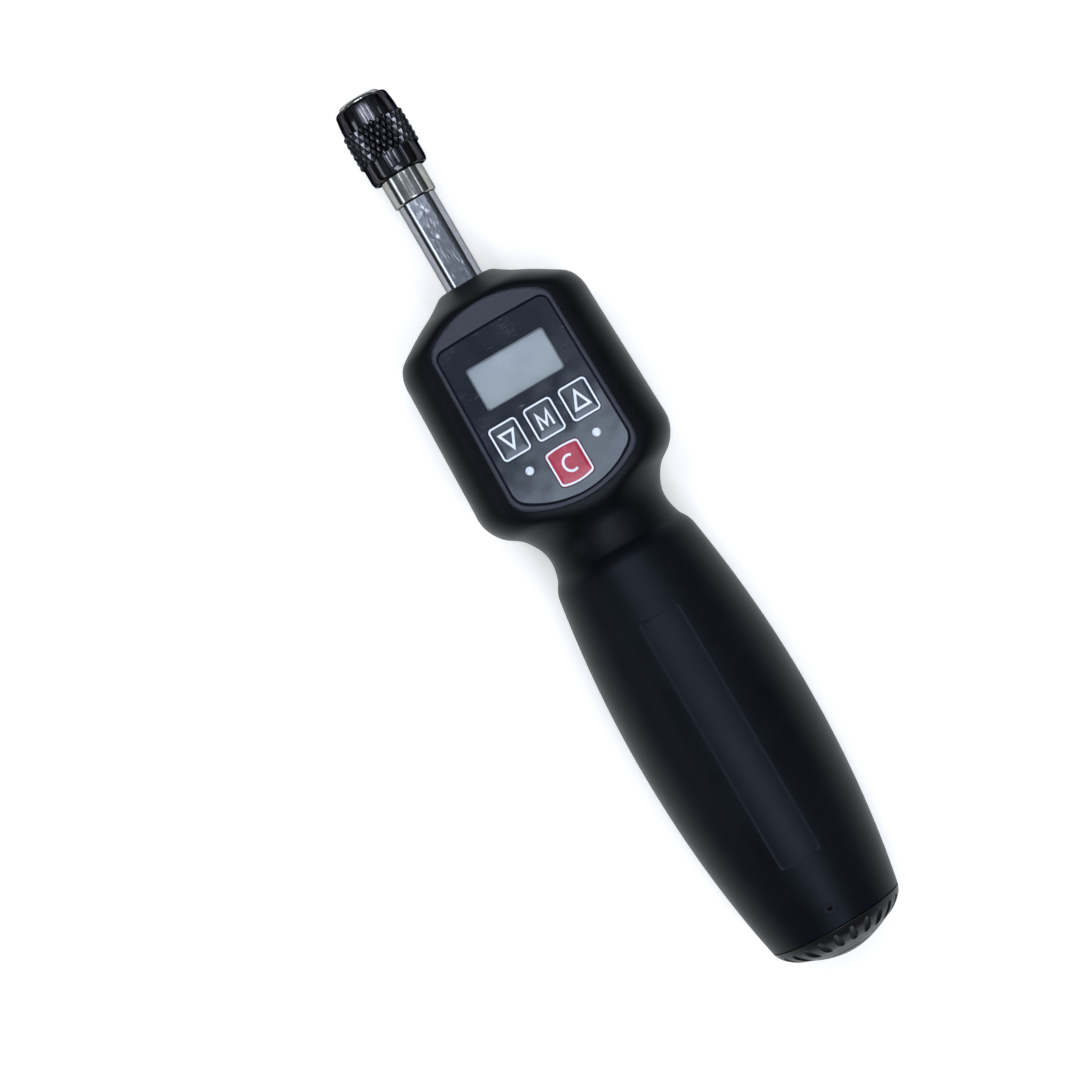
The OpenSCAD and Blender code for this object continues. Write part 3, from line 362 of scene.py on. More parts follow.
chrome.feed(colour=chrome.colours(smudge, (0.3, (0.25, 0.25, 0.24)), (0.7, (0.37, 0.37, 0.36))),
            roughness=0.05 + fine_rings * 0.06 + smudge * 0.07)
chrome.relief(fine_rings, 0.004)
chrome.on(chuck_body)
fitted(chuck_body, "tester", "chrome_chuck", "chuck_body")


# The chuck's sleeve: blackened steel with a diamond knurl between two plain bands. Inside it are the
# cam that lets the locking ball rise and the pocket of its spring. It slides back on the chuck's body.
class Recipe(Wiring):
    """A Geometry Nodes tree with named sizes, run once on a piece and then turned into its plain mesh."""

    def __init__(self, name, **sizes):
        self.tree = bpy.data.node_groups.new(name, "GeometryNodeTree")
        self.tree.interface.new_socket("Geometry", in_out="INPUT", socket_type="NodeSocketGeometry")
        self.keys, self.sizes = {}, sizes
        for label, value in sizes.items():
            kind = "NodeSocketInt" if isinstance(value, int) else "NodeSocketFloat"
            given = self.tree.interface.new_socket(label, in_out="INPUT", socket_type=kind)
            self.keys[label] = given.identifier
        self.tree.interface.new_socket("Geometry", in_out="OUTPUT", socket_type="NodeSocketGeometry")
        self.given = self.node("NodeGroupInput").outputs

    def size(self, label):
        return Reading(self, self.given[label])

    def vector(self, x, y, z):
        return self.node("ShaderNodeCombineXYZ", None, (x, y, z)).outputs[0]

    def run(self, piece, geometry, material):
        """The piece's mesh becomes what the tree makes of it, in one material."""
        real = self.node("GeometryNodeRealizeInstances", None, (geometry,)).outputs[0]
        painted = self.node("GeometryNodeSetMaterial", None, {"Geometry": real, "Material": material})
        self.node("NodeGroupOutput", None, (painted.outputs[0],))
        steps = piece.modifiers.new("steps", "NODES")
        steps.node_group = self.tree
        for label, key in self.keys.items():
            steps[key] = self.sizes[label]
        settled(piece)
        bpy.data.node_groups.remove(self.tree)


BAND_R, KNURL_R, KNURL_AT, KNURL_L = 7.05, 7.6, 6.2, 8.9
KNURL_ROUND, KNURL_ROWS, CREST_SHARE, OVERLAP = 29, 6, 0.16, 1.02
SLEEVE_FRONT, SLEEVE_REAR, SPRING_AT, SPRING_SLACK = 1.0, 19.7, 10.3, 0.05
FRONT_BORE_R, FRONT_BORE_TO, SLIDE_R, POCKET_R = 5.96, 2.4, 5.38, 6.13
CAM_R, CAM_FROM, CAM_FLAT_TO, CAM_TO = 6.33, 3.7, 4.4, 7.8
shoulder = SPRING_AT - SPRING_SLACK
sleeve = turned("knurled_sleeve", [
    (FRONT_BORE_R, SLEEVE_FRONT, 0.1), (BAND_R - 0.8, SLEEVE_FRONT, 0.15),
    (BAND_R - 0.42, SLEEVE_FRONT + 0.5, 0.3), (BAND_R, KNURL_AT - 1.6, 1.2), (BAND_R, KNURL_AT, 0),
    (BAND_R, KNURL_AT + KNURL_L, 0), (BAND_R, SLEEVE_REAR - 1.1, 0.6),
    (BAND_R - 0.25, SLEEVE_REAR - 0.25, 0.25), (BAND_R - 0.5, SLEEVE_REAR, 0.15),
    (POCKET_R, SLEEVE_REAR, 0), (POCKET_R, shoulder, 0), (SLIDE_R, shoulder, 0), (SLIDE_R, CAM_TO, 0),
    (CAM_R, CAM_FLAT_TO, 0), (CAM_R, CAM_FROM, 0), (SLIDE_R, CAM_FROM, 0), (SLIDE_R, FRONT_BORE_TO, 0),
    (FRONT_BORE_R, FRONT_BORE_TO, 0)], 160)
black_oxide = Finish("black_oxide", metallic=1.0, specular_tint=(0.25, 0.25, 0.26))
crest = black_oxide.from_axis().between(BAND_R + 0.07, KNURL_R - 0.1)
rub = black_oxide.grain(1.3, 3.0)
drawn_marks = black_oxide.grain(2.6, 4.0, (1.0, 0.04, 1.0), 0.7)
blackened = black_oxide.colours(drawn_marks.between(0.35, 0.68), (0.0, (0.016, 0.016, 0.019)),
                                (1.0, (0.078, 0.077, 0.086)))
black_oxide.feed(colour=black_oxide.mixed(crest * (0.22 + rub.between(0.45, 0.75) * 0.6), blackened,
                                          (0.22, 0.22, 0.24)),
                 roughness=0.03 + drawn_marks * 0.09 + rub * 0.03 + crest * 0.14)
black_oxide.relief(drawn_marks * 0.7 + rub * 0.3, 0.012)
knurl = Recipe("diamond_knurl", radius=BAND_R * MM, height=(KNURL_R - BAND_R) * MM, start=KNURL_AT * MM,
               length=KNURL_L * MM, around=KNURL_ROUND, rows=KNURL_ROWS)
number = Reading(knurl, knurl.node("GeometryNodeInputIndex").outputs[0])
around, rows = knurl.size("around"), knurl.size("rows")
row = knurl.number("FLOOR", (number + 0.5) / around)
turn = (number - row * around + knurl.number("MODULO", row, 2.0) * 0.5) / around * (2 * math.pi)
half_row = knurl.size("length") / rows
spot = knurl.vector(knurl.size("radius") * knurl.number("SINE", turn),
                    -1.0 * knurl.size("start") - half_row * (row + 0.5),
                    knurl.size("radius") * knurl.number("COSINE", turn))
spots = knurl.node("GeometryNodePoints", None, (around * rows, spot)).outputs[0]
diamond = knurl.node("GeometryNodeMeshCone", {"fill_type": "NGON"}, {
    "Vertices": 4, "Side Segments": 1, "Fill Segments": 1,
    "Radius Top": CREST_SHARE, "Radius Bottom": 1.0, "Depth": 1.0})
half_width = knurl.size("radius") * math.pi * OVERLAP / around
lattice = knurl.node("GeometryNodeInstanceOnPoints", None, {
    "Points": spots, "Instance": diamond.outputs[0], "Rotation": knurl.vector(0.0, turn, 0.0),
    "Scale": knurl.vector(half_width, half_row * OVERLAP, knurl.size("height"))})
px, py, pz = [Reading(knurl, part) for part in knurl.node("ShaderNodeSeparateXYZ", None, (
    knurl.node("GeometryNodeInputPosition").outputs[0],)).outputs]
kept = knurl.number("MAXIMUM", knurl.number("MINIMUM", py, -1.0 * knurl.size("start")),
                    -1.0 * knurl.size("start") - knurl.size("length"))
trimmed = knurl.node("GeometryNodeSetPosition", None, {
    "Geometry": knurl.node("GeometryNodeRealizeInstances", None, (lattice.outputs[0],)).outputs[0],
    "Position": knurl.vector(px, kept, pz)})
joined = knurl.node("GeometryNodeJoinGeometry", None, (trimmed.outputs[0],))
knurl.tree.links.new(knurl.given["Geometry"], joined.inputs[0])
knurl.run(sleeve, joined.outputs[0], black_oxide.material)
fitted(sleeve, "sleeve", "black_oxide", "chuck_sleeve")


# The chuck's small parts: a stop ring and a seat ring of spring steel in grooves of its body, the coil spring
# that the sleeve presses together, the hardened locking ball, the magnet that holds a bit, and the cross pin.
def mottled(name, low, high, per_mm, detail=3.0, stretch=(1.0, 1.0, 1.0), stops=(0.3, 0.7), rough=0.5,
            rougher=0.0, depth_mm=0.0, **constants):
    """A finish between two shades, whose roughness and relief follow the same grain as its colour."""
    made = Finish(name, roughness=rough, **constants)
    grain = made.grain(per_mm, detail, stretch)
    made.feed(colour=made.colours(grain, (stops[0], low), (stops[1], high)))
    if rougher:
        made.feed(roughness=rough + grain * rougher)
    if depth_mm:
        made.relief(grain, depth_mm)
    return made


SPRING_L, SPRING_R, SPRING_WIRE, SPRING_TURNS, SLEEVE_TRAVEL = 5.6, 5.72, 0.6, 5, 3.0
TURN_STEPS, WIRE_SIDES = 48, 12
wire_ring = [(SPRING_R + math.cos(a) * SPRING_WIRE / 2, math.sin(a) * SPRING_WIRE / 2)
             for a in full_turn(WIRE_SIDES)]
spring_steps = TURN_STEPS * SPRING_TURNS
spring_loops = []
for k in range(spring_steps + 1):
    turn = 2 * math.pi * k / TURN_STEPS
    along = SPRING_AT + SPRING_WIRE / 2 + (SPRING_L - SPRING_WIRE) * k / spring_steps
    spring_loops.append([(math.cos(turn) * r, up - along, math.sin(turn) * r) for r, up in wire_ring])
spring = skinned("coil_spring", spring_loops)
spring_steel = mottled("spring_steel", (0.46, 0.46, 0.48), (0.66, 0.66, 0.68), 3.0, stretch=(1.0, 0.3, 1.0),
                       stops=(0.3, 0.75), rough=0.24, rougher=0.2, metallic=1.0)
spring_steel.on(spring, nodes["sleeve_stop_ring"], nodes["spring_seat_ring"])
fitted(spring, "tester", "spring_steel", "sleeve_spring")
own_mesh(spring)
ball_steel = mottled("ball_steel", (0.66, 0.66, 0.68), (0.82, 0.82, 0.83), 2.5, rough=0.06, rougher=0.1,
                     metallic=1.0)
ball_steel.on(nodes["locking_ball"], nodes["chuck_pin"])
nickel = mottled("nickel_plate", (0.50, 0.48, 0.44), (0.68, 0.66, 0.61), 1.6, rough=0.2, rougher=0.15,
                 metallic=1.0)
nickel.on(nodes["bit_magnet"])


# The output shaft: ground steel with two long flats, held in the chuck's rear by the cross pin. It runs on
# through the nose bush into the sensor's hub. Fine scratches lie along its flats.
SHAFT_R, FLAT_H, SPIGOT_R, HUB_SPIGOT_R = 4.7, 4.205, 3.6, 3.5
SPIGOT_FROM, SHOULDER_AT, FLATS_TO, SHAFT_TO, HUB_SPIGOT_TO = 20.7, 26.55, 48.75, 60.0, 66.9
SHAFT_CHAMFER, ARC_STEPS, FLAT_STEPS = 0.15, 36, 8
flats_from = SHOULDER_AT + SHAFT_CHAMFER
edge_turn = math.asin(FLAT_H / SHAFT_R)
shaft_turns = [a + side * math.pi for side in (0, 1) for a in
               [edge_turn * (2 * k / ARC_STEPS - 1) for k in range(ARC_STEPS)]
               + [edge_turn + (math.pi - 2 * edge_turn) * k / FLAT_STEPS for k in range(FLAT_STEPS)]]
shaft = skinned("ground_shaft", [
    [(r * math.cos(a), -d, max(-flat, min(flat, r * math.sin(a)))) for a in shaft_turns] for r, d, flat in (
        (SPIGOT_R, SPIGOT_FROM, SHAFT_R), (SPIGOT_R, SHOULDER_AT, SHAFT_R),
        (SHAFT_R - SHAFT_CHAMFER, SHOULDER_AT, SHAFT_R), (SHAFT_R, flats_from, SHAFT_R),
        (SHAFT_R, flats_from, FLAT_H), (SHAFT_R, FLATS_TO, FLAT_H), (SHAFT_R, FLATS_TO, SHAFT_R),
        (SHAFT_R, SHAFT_TO, SHAFT_R), (HUB_SPIGOT_R, SHAFT_TO, SHAFT_R),
        (HUB_SPIGOT_R, HUB_SPIGOT_TO, SHAFT_R))], angle=18.0)
ground_steel = Finish("ground_steel", metallic=1.0, specular_tint=(0.4, 0.4, 0.4))
lengthwise = ground_steel.grain(3.0, 5.0, (1.0, 0.10, 1.0), 0.7)
handled = ground_steel.grain(0.4, 5.0)
scuffs = ground_steel.grain(4.0, 3.0, (1.0, 0.16, 1.0), 0.7).between(0.50, 0.66) * handled.between(0.35, 0.6)
ground_steel.feed(
    colour=ground_steel.mixed(scuffs, ground_steel.colours(
        lengthwise, (0.3, (0.22, 0.23, 0.26)), (0.7, (0.32, 0.33, 0.36))), (0.42, 0.43, 0.47)),
    roughness=0.05 + lengthwise * 0.07 + scuffs * 0.08)
ground_steel.relief(lengthwise, 0.0005)
ground_steel.on(shaft)
fitted(shaft, "tester", "polished_steel", "output_shaft")


# The lip seal and the bush in the head's nose: a ring of black rubber at the front keeps dust out, and the
# sintered bronze bush behind it carries the shaft.
seal_rubber = mottled("seal_rubber", (0.012, 0.012, 0.013), (0.024, 0.024, 0.025), 2.0, 4.0, stops=(0.3, 0.8),
                      rough=0.6, depth_mm=0.01)
seal_rubber.on(nodes["shaft_seal"], nodes["cap_o_ring"])
bronze = mottled("sintered_bronze", (0.26, 0.18, 0.09), (0.56, 0.40, 0.21), 6.0, stops=(0.35, 0.65),
                 rough=0.34, rougher=0.2, depth_mm=0.01, metallic=1.0)
bronze.on(nodes["nose_bush"])


# The head's two covers: black soft-touch plastic, moulded in halves that meet on the drive axis and are
# drawn together by four screws from behind. The front one is flat under the face, the back one at the rear.
NOSE, SEAM = 48.8, 118.4
FACE_H, BACK_H, WALL, CROWN = 18.2, 21.3, 2.4, 1.077
BROW_W, HEAD_W, WAIST_R, GRIP_FRONT_R = 47.2, 49.2, 15.05, 16.2
NOSE_L, NECK_L, WAIST_L, NOSE_W, NOSE_H = 14.0, 15.9, 5.5, 14.0, 8.0
NOSE_SQUARE, HEAD_SQUARE, EDGE_BLEND = 2.6, 3.2, 1.5
NOSE_SHARES = ((0, 0, 0, 0, 0), (0.186, 0.223, 0.45, 0.35, 0.3), (0.343, 0.461, 0.8, 0.62, 0.55),
               (0.507, 0.684, 0.95, 0.8, 0.8), (0.671, 0.886, 1, 0.93, 0.95), (0.836, 0.97, 1, 0.98, 1),
               (1, 1, 1, 1, 1))
NECK_SHARES = ((0, 1, 1, 1, 1), (0.138, 0.969, 1, 0.99, 0.95), (0.283, 0.864, 1, 0.95, 0.8),
               (0.428, 0.675, 0.95, 0.82, 0.6), (0.572, 0.3455, 0.72, 0.55, 0.35),
               (0.717, 0.162, 0.38, 0.28, 0.15), (0.862, 0.047, 0.1, 0.08, 0.05), (1, 0, 0, 0, 0))
WAIST_SHARES = ((0.42, 0.13), (0.84, 0.65), (1, 1))
HALF_SIDES, ROW_STEPS = 88, 7


def share_of(start, end, share):
    return start + (end - start) * share


def blended_rows(shares, start, length, small, large):
    """Rows of distance, half width, front, back and squareness, each its own share from small to large."""
    return [(start + s[0] * length, *(share_of(a, b, t) for a, b, t in zip(small, large, s[1:])))
            for s in shares]


def flowing(rows, steps):
    """More rows on the smooth curve through the given ones."""
    finer, last = [], len(rows) - 1
    for i in range(last):
        a, b, c, d = [Vector(rows[k]) for k in (max(i - 1, 0), i, i + 1, min(i + 2, last))]
        for t in [k / steps for k in range(steps)]:
            finer.append(0.5 * (2 * b + (c - a) * t + (2 * a - 5 * b + 4 * c - d) * t ** 2
                                + (3 * b - a - 3 * c + d) * t ** 3))
    return finer + [Vector(rows[last])]


neck_at, nose_to = SEAM - WAIST_L - NECK_L, NOSE + NOSE_L
full_crown = (FACE_H * CROWN, BACK_H * CROWN, HEAD_SQUARE)
nose_size = (NOSE_W / 2, NOSE_H, NOSE_H, NOSE_SQUARE)
waist_size = (WAIST_R, WAIST_R, WAIST_R, 2.0)
head_rows = (
    blended_rows(NOSE_SHARES, NOSE, NOSE_L, nose_size, (BROW_W / 2, *full_crown))
    + [(share_of(nose_to, neck_at, s), share_of(BROW_W, HEAD_W, s) / 2, *full_crown) for s in (0.1, 0.5, 0.9)]
    + blended_rows(NECK_SHARES, neck_at, NECK_L, waist_size, (HEAD_W / 2, *full_crown))
    + [(SEAM - WAIST_L * (1 - s), *(share_of(WAIST_R, GRIP_FRONT_R, t),) * 3, 2.0) for s, t in WAIST_SHARES])


def half_ring(row, side, inset, lip, parting):
    """Half of the head's section: a squared ellipse with a levelled crown, closed along the parting plane."""
    d, width, front, back, square = row
    width, level = width - inset, (FACE_H if side > 0 else BACK_H) - inset
    crown = (front if side > 0 else back) - inset
    ring = [(width - lip, -d, side * parting), (width, -d, side * (parting + lip))]
    for k in range(1, HALF_SIDES):
        a = math.pi * k / HALF_SIDES
        z = math.sin(a) ** (2 / square) * crown
        mix = max(0.0, min(1.0, 0.5 + (level - z) / (2 * EDGE_BLEND)))
        z = share_of(level, z, mix) - EDGE_BLEND * mix * (1 - mix)
        ring.append((math.copysign(abs(math.cos(a)) ** (2 / square), math.cos(a)) * width, -d, side * z))
    return ring + [(-width, -d, side * (parting + lip)), (lip - width, -d, side * parting)]


SCREW_X, SCREW_ATS, SCREW_POST_R, SCREW_HOLE_R, SCREW_SEAT = 18.204, (68.0, 90.0), 2.7, 2.5, 12.0
BUSH_R, BOSS_R, HUB_AT, LIP, PARTING, NOSE_EASE, OUTSIDE = 6.65, 9.0, 60.1, 0.16, 0.05, 0.25, 25.0
screw_spots = [(x, at) for x in (-SCREW_X, SCREW_X) for at in SCREW_ATS]
covers = {}
for side, name in ((1, "front"), (-1, "back")):
    outer = flowing(head_rows, ROW_STEPS)
    outer[0] = outer[0] - Vector((0, NOSE_EASE, NOSE_EASE, NOSE_EASE, 0))
    covers[side] = skinned(name + "_cover", [half_ring(row, side, 0.0, LIP, PARTING) for row in outer])
    inner = [(NOSE + WALL, *head_rows[0][1:])] + [row for row in head_rows if row[0] > NOSE + WALL]
    inner.append((SEAM + 1.0, *head_rows[-1][1:]))
    hollow = skinned(name + "_hollow", [half_ring(row, side, WALL, 0.0, -1.0) for row in flowing(inner, 2)])
    posts = [rod_between("post", (x, -at, -OUTSIDE), (x, -at, OUTSIDE), SCREW_POST_R)
             for x, at in screw_spots]
    pierced(hollow, posts + [rod_between("boss", (0.0, -NOSE, 0.0), (0.0, -HUB_AT, 0.0), BOSS_R, 64)])
    bore = rod_between("bore", (0.0, 1.0 - NOSE, 0.0), (0.0, -HUB_AT - 1.0, 0.0), BUSH_R, 96)
    pierced(covers[side], [hollow, bore])
pierced(covers[-1], [rod_between("screw_hole", (x, -at, -OUTSIDE), (x, -at, -SCREW_SEAT), SCREW_HOLE_R)
                     for x, at in screw_spots])


def arched_end(width, top, rise, corner, steps=10):
    """Points of an arched end with rounded corners, from right to left."""
    big = (width ** 2 / 4 + rise ** 2) / (2 * rise)
    mid, cx = top - big, width / 2 - corner
    cy = mid + math.sqrt((big - corner) ** 2 - cx ** 2)
    turn = math.atan2(cy - mid, cx)
    right_corner = [(cx + corner * math.cos(turn * k / steps), cy + corner * math.sin(turn * k / steps))
                    for k in range(steps + 1)]
    arc = [share_of(turn, math.pi - turn, k / (2 * steps)) for k in range(1, 2 * steps)]
    return (right_corner + [(big * math.cos(a), mid + big * math.sin(a)) for a in arc]
            + [(-x, y) for x, y in right_corner[::-1]])


def arched(grow, top_w, foot_w, length, rise, corner, foot_rise, foot_corner, least=0.2):
    """A closed outline with both ends arched, centred between them and grown all round."""
    top = arched_end(top_w + grow * 2, length / 2 + grow, rise, max(corner + grow, least))
    foot = arched_end(foot_w + grow * 2, length / 2 + grow, foot_rise, max(foot_corner + grow, least))
    return top + [(x, -y) for x, y in foot[::-1]]


def rounded_box(width, length, corner, steps=8):
    """A rectangle with rounded corners."""
    half_w, half_l = width / 2 - corner, length / 2 - corner
    return [(sx * half_w + corner * math.cos(a), sy * half_l + corner * math.sin(a))
            for q, (sx, sy) in enumerate(((1, 1), (-1, 1), (-1, -1), (1, -1)))
            for a in [math.pi / 2 * (q + k / steps) for k in range(steps + 1)]]


def raised(name, outline, at, levels, x=0.0, joined=False, angle=30.0):
    """A piece standing on the face: an outline at each (growth, height, shift along the face)."""
    return skinned(name, [[(x + px, py + sum(shift) - at, z) for px, py in outline(grow)]
                          for grow, z, *shift in levels], joined, angle)


BEZEL_MID, PANEL_MID, POCKET_FLOOR = 79.7, 81.8, 16.9
LCD_AT, LCD_W, LCD_L, LCD_R, LCD_LEDGE = 71.99, 19.8, 10.5, 0.8, 0.3
KEY_ROW_AT, CLEAR_AT, KEY_PITCH = 84.95, 96.25, 8.95
LIGHT_AT, LIGHT_X, LIGHT_R, STEM_R, FIT, STEM_FIT = 93.25, 8.6, 1.0, 1.4, 0.05, 0.2
FACE_CUT = 13.0, 18.0
BEZEL = {"top_w": 30.6, "foot_w": 32.3, "length": 50.2, "rise": 5.4, "corner": 4.5, "foot_rise": 5.6,
         "foot_corner": 5.0}
key_spots = [(-KEY_PITCH, KEY_ROW_AT), (0.0, KEY_ROW_AT), (KEY_PITCH, KEY_ROW_AT), (0.0, CLEAR_AT)]
light_spots = [(-LIGHT_X, LIGHT_AT), (LIGHT_X, LIGHT_AT)]


def bezel_outline(grow):
    return arched(grow, **BEZEL)


def lcd_outline(grow):
    return rounded_box(LCD_W + grow * 2, LCD_L + grow * 2, LCD_R + max(grow, 0.0))


def drilled(name, spots, radius, heights):
    """Bars through the face at each spot, to cut round holes with."""
    return [rod_between(name, *((x, -at, z) for z in heights), radius) for x, at in spots]


def window_cut(name, outline, at, grow, heights, x=0.0):
    """A straight-sided block of an outline's shape, to cut a window with."""
    return raised(name, outline, at, [(grow, z) for z in heights], x)


pierced(covers[1], [window_cut("pocket", bezel_outline, BEZEL_MID, FIT, (POCKET_FLOOR, OUTSIDE)),
                    window_cut("lcd_hole", lcd_outline, LCD_AT, -LCD_LEDGE, FACE_CUT)]
        + drilled("stem_hole", key_spots, STEM_R + STEM_FIT, FACE_CUT)
        + drilled("light_hole", light_spots, LIGHT_R + FIT, FACE_CUT))
soft_black = Finish("soft_touch_black", specular=0.12, specular_tint=(0.75, 0.86, 1.0))
moulded = soft_black.grain(9.0, 2.0)
handling = soft_black.grain(0.12, 5.0)
soft_black.feed(colour=soft_black.colours(handling, (0.35, (0.0008, 0.0009, 0.0012)),
                                          (0.75, (0.0018, 0.0020, 0.0026))),
                roughness=0.34 + handling * 0.14 + moulded * 0.04)
soft_black.relief(moulded, 0.012)
soft_black.on(*covers.values())
fitted(covers[1], "tester", "soft_black", "head_front_cover")
fitted(covers[-1], "tester", "soft_black", "head_back_cover")
black_zinc = mottled("black_zinc", (0.020, 0.020, 0.021), (0.050, 0.050, 0.048), 2.4, stops=(0.3, 0.8),
                     rough=0.3, rougher=0.15, metallic=1.0)
black_zinc.on(nodes["head_screws"], nodes["sensor_screws"], nodes["bulkhead_set_screw"])


# The bezel: a slate-blue ring of finely textured plastic let into the front cover, its brow broad and
# arched over the display. Its top edges are rounded, and a narrow groove parts it from the panel.
BEZEL_TOP, GROOVE, OUTER_ROUND, INNER_ROUND, ROUND_STEPS = 18.7, 0.3, 0.5, 0.3, 5
PANEL = {"top_w": 28.0, "foot_w": 29.4, "length": 42.8, "rise": 0.3, "corner": 2.0, "foot_rise": 5.4,
         "foot_corner": 4.0}


def panel_outline(grow):
    return arched(grow, **PANEL)


def rounded_edge(start, inwards, radius):
    """Levels of (growth, height) up a rounded edge of the bezel."""
    return [(start + inwards * radius * (1 - math.cos(a)), BEZEL_TOP - radius * (1 - math.sin(a)))
            for a in [math.pi / 2 * k / ROUND_STEPS for k in range(ROUND_STEPS + 1)]]


bezel = skinned("bezel_ring", [
    [(x, y - mid, z) for x, y in outline(grow)] for outline, mid, levels in (
        (bezel_outline, BEZEL_MID, [(-FIT, POCKET_FLOOR)] + rounded_edge(-FIT, -1, OUTER_ROUND)),
        (panel_outline, PANEL_MID, rounded_edge(GROOVE, 1, INNER_ROUND)[::-1] + [(GROOVE, POCKET_FLOOR)]))
    for grow, z in levels], True)
slate = Finish("slate_plastic", specular=0.25)
spark = slate.grain(7.0, 2.0)
dust = slate.grain(0.8, 6.0)
slate.feed(colour=slate.colours(dust, (0.35, (0.013, 0.016, 0.028)), (0.75, (0.021, 0.025, 0.040))),
           roughness=0.42 + dust * 0.12)
slate.relief(spark, 0.02)
slate.on(bezel)
fitted(bezel, "tester", "bezel_plastic", "bezel")


# The front panel: one sheet of glossy navy plastic stuck on the pocket's floor, cut out for the display,
# the keys and the two lights. It is smudged and lightly scratched.
PANEL_TOP, KEY_GAP, PANEL_CUT, EDGE_ANGLE = 18.3, 0.12, (16.0, 20.0), 12.0
KEY_W, KEY_L, KEY_R, LEAST_R = 7.25, 8.5, 1.1, 0.15
CLEAR = {"top_w": 8.6, "foot_w": 8.6, "length": 9.3, "rise": 0.35, "corner": KEY_R, "foot_rise": 0.7,
         "foot_corner": KEY_R}


def key_outline(grow):
    return rounded_box(KEY_W + grow * 2, KEY_L + grow * 2, max(KEY_R + grow, LEAST_R))


def clear_outline(grow):
    return arched(grow, **CLEAR)


panel = raised("glossy_panel", panel_outline, PANEL_MID,
               ((0.0, POCKET_FLOOR), (0.0, PANEL_TOP - 0.12), (-0.04, PANEL_TOP - 0.03), (-0.14, PANEL_TOP)))
KEY_OUTLINES = key_outline, key_outline, key_outline, clear_outline
pierced(panel, [window_cut("lcd_cut", lcd_outline, LCD_AT, FIT, PANEL_CUT)]
        + [window_cut("key_cut", outline, at, KEY_GAP, PANEL_CUT, x)
           for outline, (x, at) in zip(KEY_OUTLINES, key_spots)]
        + drilled("light_cut", light_spots, LIGHT_R + FIT, PANEL_CUT), EDGE_ANGLE)
navy = Finish("glossy_navy", specular=0.42, specular_tint=(0.80, 0.88, 1.0))
smears = navy.grain(0.11, 4.0, (1.0, 0.7, 1.0))
fine = navy.grain(0.7, 6.0)
hair = (navy.grain(0.55, 1.0, (0.35, 3.5, 1.0)) - 0.5).unsigned().between(0.012, 0.0)
scratch = hair * navy.grain(0.2, 1.0).between(0.5, 0.62)
navy.feed(colour=navy.mixed(scratch * 0.25, navy.colours(
    smears, (0.3, (0.0060, 0.0078, 0.0130)), (0.75, (0.0100, 0.0125, 0.0200))), (0.16, 0.17, 0.20)),
    roughness=0.03 + smears * 0.08 + fine * 0.04 + scratch * 0.2)
navy.relief(navy.grain(0.13, 1.0) + fine * 0.02, 0.05)
navy.on(panel)
fitted(panel, "tester", "panel_gloss", "front_panel")


# The four keys: moulded caps with a flat rim and a slightly raised pad, on stems that press the switches
# of the board. Three are dark and the clear key is red. Each travels 0.3 mm into the panel.
KEY_TOP, KEY_RIM_TOP, KEY_BOTTOM, STEM_FOOT = 18.425, 18.31, 17.275, 15.85
KEY_LEVELS = ((0.0, KEY_BOTTOM), (0.0, KEY_RIM_TOP - 0.14), (-0.04, KEY_RIM_TOP - 0.04), (-0.13, KEY_RIM_TOP),
              (-0.68, KEY_RIM_TOP), (-0.80, KEY_RIM_TOP + 0.03, 0.04), (-1.00, KEY_TOP - 0.045, 0.14),
              (-1.20, KEY_TOP - 0.018, 0.28), (-1.45, KEY_TOP - 0.004, 0.42), (-1.8, KEY_TOP, 0.4),
              (-2.6, KEY_TOP))


def gathered(name, pieces, angle=30.0):
    """Several closed pieces as one."""
    work = bmesh.new()
    for piece in pieces:
        work.from_mesh(piece.data)
        bpy.data.objects.remove(piece)
    mesh = bpy.data.meshes.new(name)
    work.to_mesh(mesh)
    work.free()
    made = bpy.data.objects.new(name, mesh)
    scene.collection.objects.link(made)
    return cleaned(made, angle)


dark_cap = mottled("dark_key", (0.0100, 0.0130, 0.0200), (0.0170, 0.0210, 0.0310), 0.45, 4.0,
                   stops=(0.3, 0.75), rough=0.14, rougher=0.16, depth_mm=0.015, specular=0.45,
                   specular_tint=(0.80, 0.88, 1.0))
red_cap = mottled("red_key", (0.27, 0.008, 0.032), (0.38, 0.022, 0.062), 0.5, 4.0, stops=(0.3, 0.75),
                  rough=0.16, rougher=0.16, depth_mm=0.015, specular=0.28)
KEY_BODIES = ("down_key", "mode_key", "up_key", "clear_key")
for body, outline, (x, at) in zip(KEY_BODIES, KEY_OUTLINES, key_spots):
    clear = body == "clear_key"
    cap = raised("cap_blank", outline, at, KEY_LEVELS, x, angle=40.0)
    stem = rod_between("stem_blank", (x, -at, STEM_FOOT), (x, -at, KEY_BOTTOM), STEM_R)
    key = gathered(body + "_cap", [cap, stem], 40.0)
    (red_cap if clear else dark_cap).on(key)
    fitted(key, body, "key_red" if clear else "key_black", body)


# The keys' legends: a pale border round each key, and in it a down triangle, M, an up triangle or C. They
# are printed, so they are a few hundredths thick, and they move with their keys.
PRINT_T, PRINT_SUNK, BORDER_IN, BORDER_W, STROKE_W = 0.02, 0.01, 0.12, 0.42, 0.58
LEGENDS = {"down_key": (((-1.72, 1.75), (1.72, 1.75), (0.0, -2.05)), True),
           "mode_key": (((-1.50, -1.95), (-1.28, 1.68), (0.0, -1.25), (1.28, 1.68), (1.50, -1.95)), False),
           "up_key": (((-1.75, -1.85), (0.0, 2.05), (1.75, -1.85)), True),
           "clear_key": ([(0.25 + 1.72 * math.cos(math.radians(a)), 1.86 * math.sin(math.radians(a)))
                          for a in range(58, 304, 10)], False)}


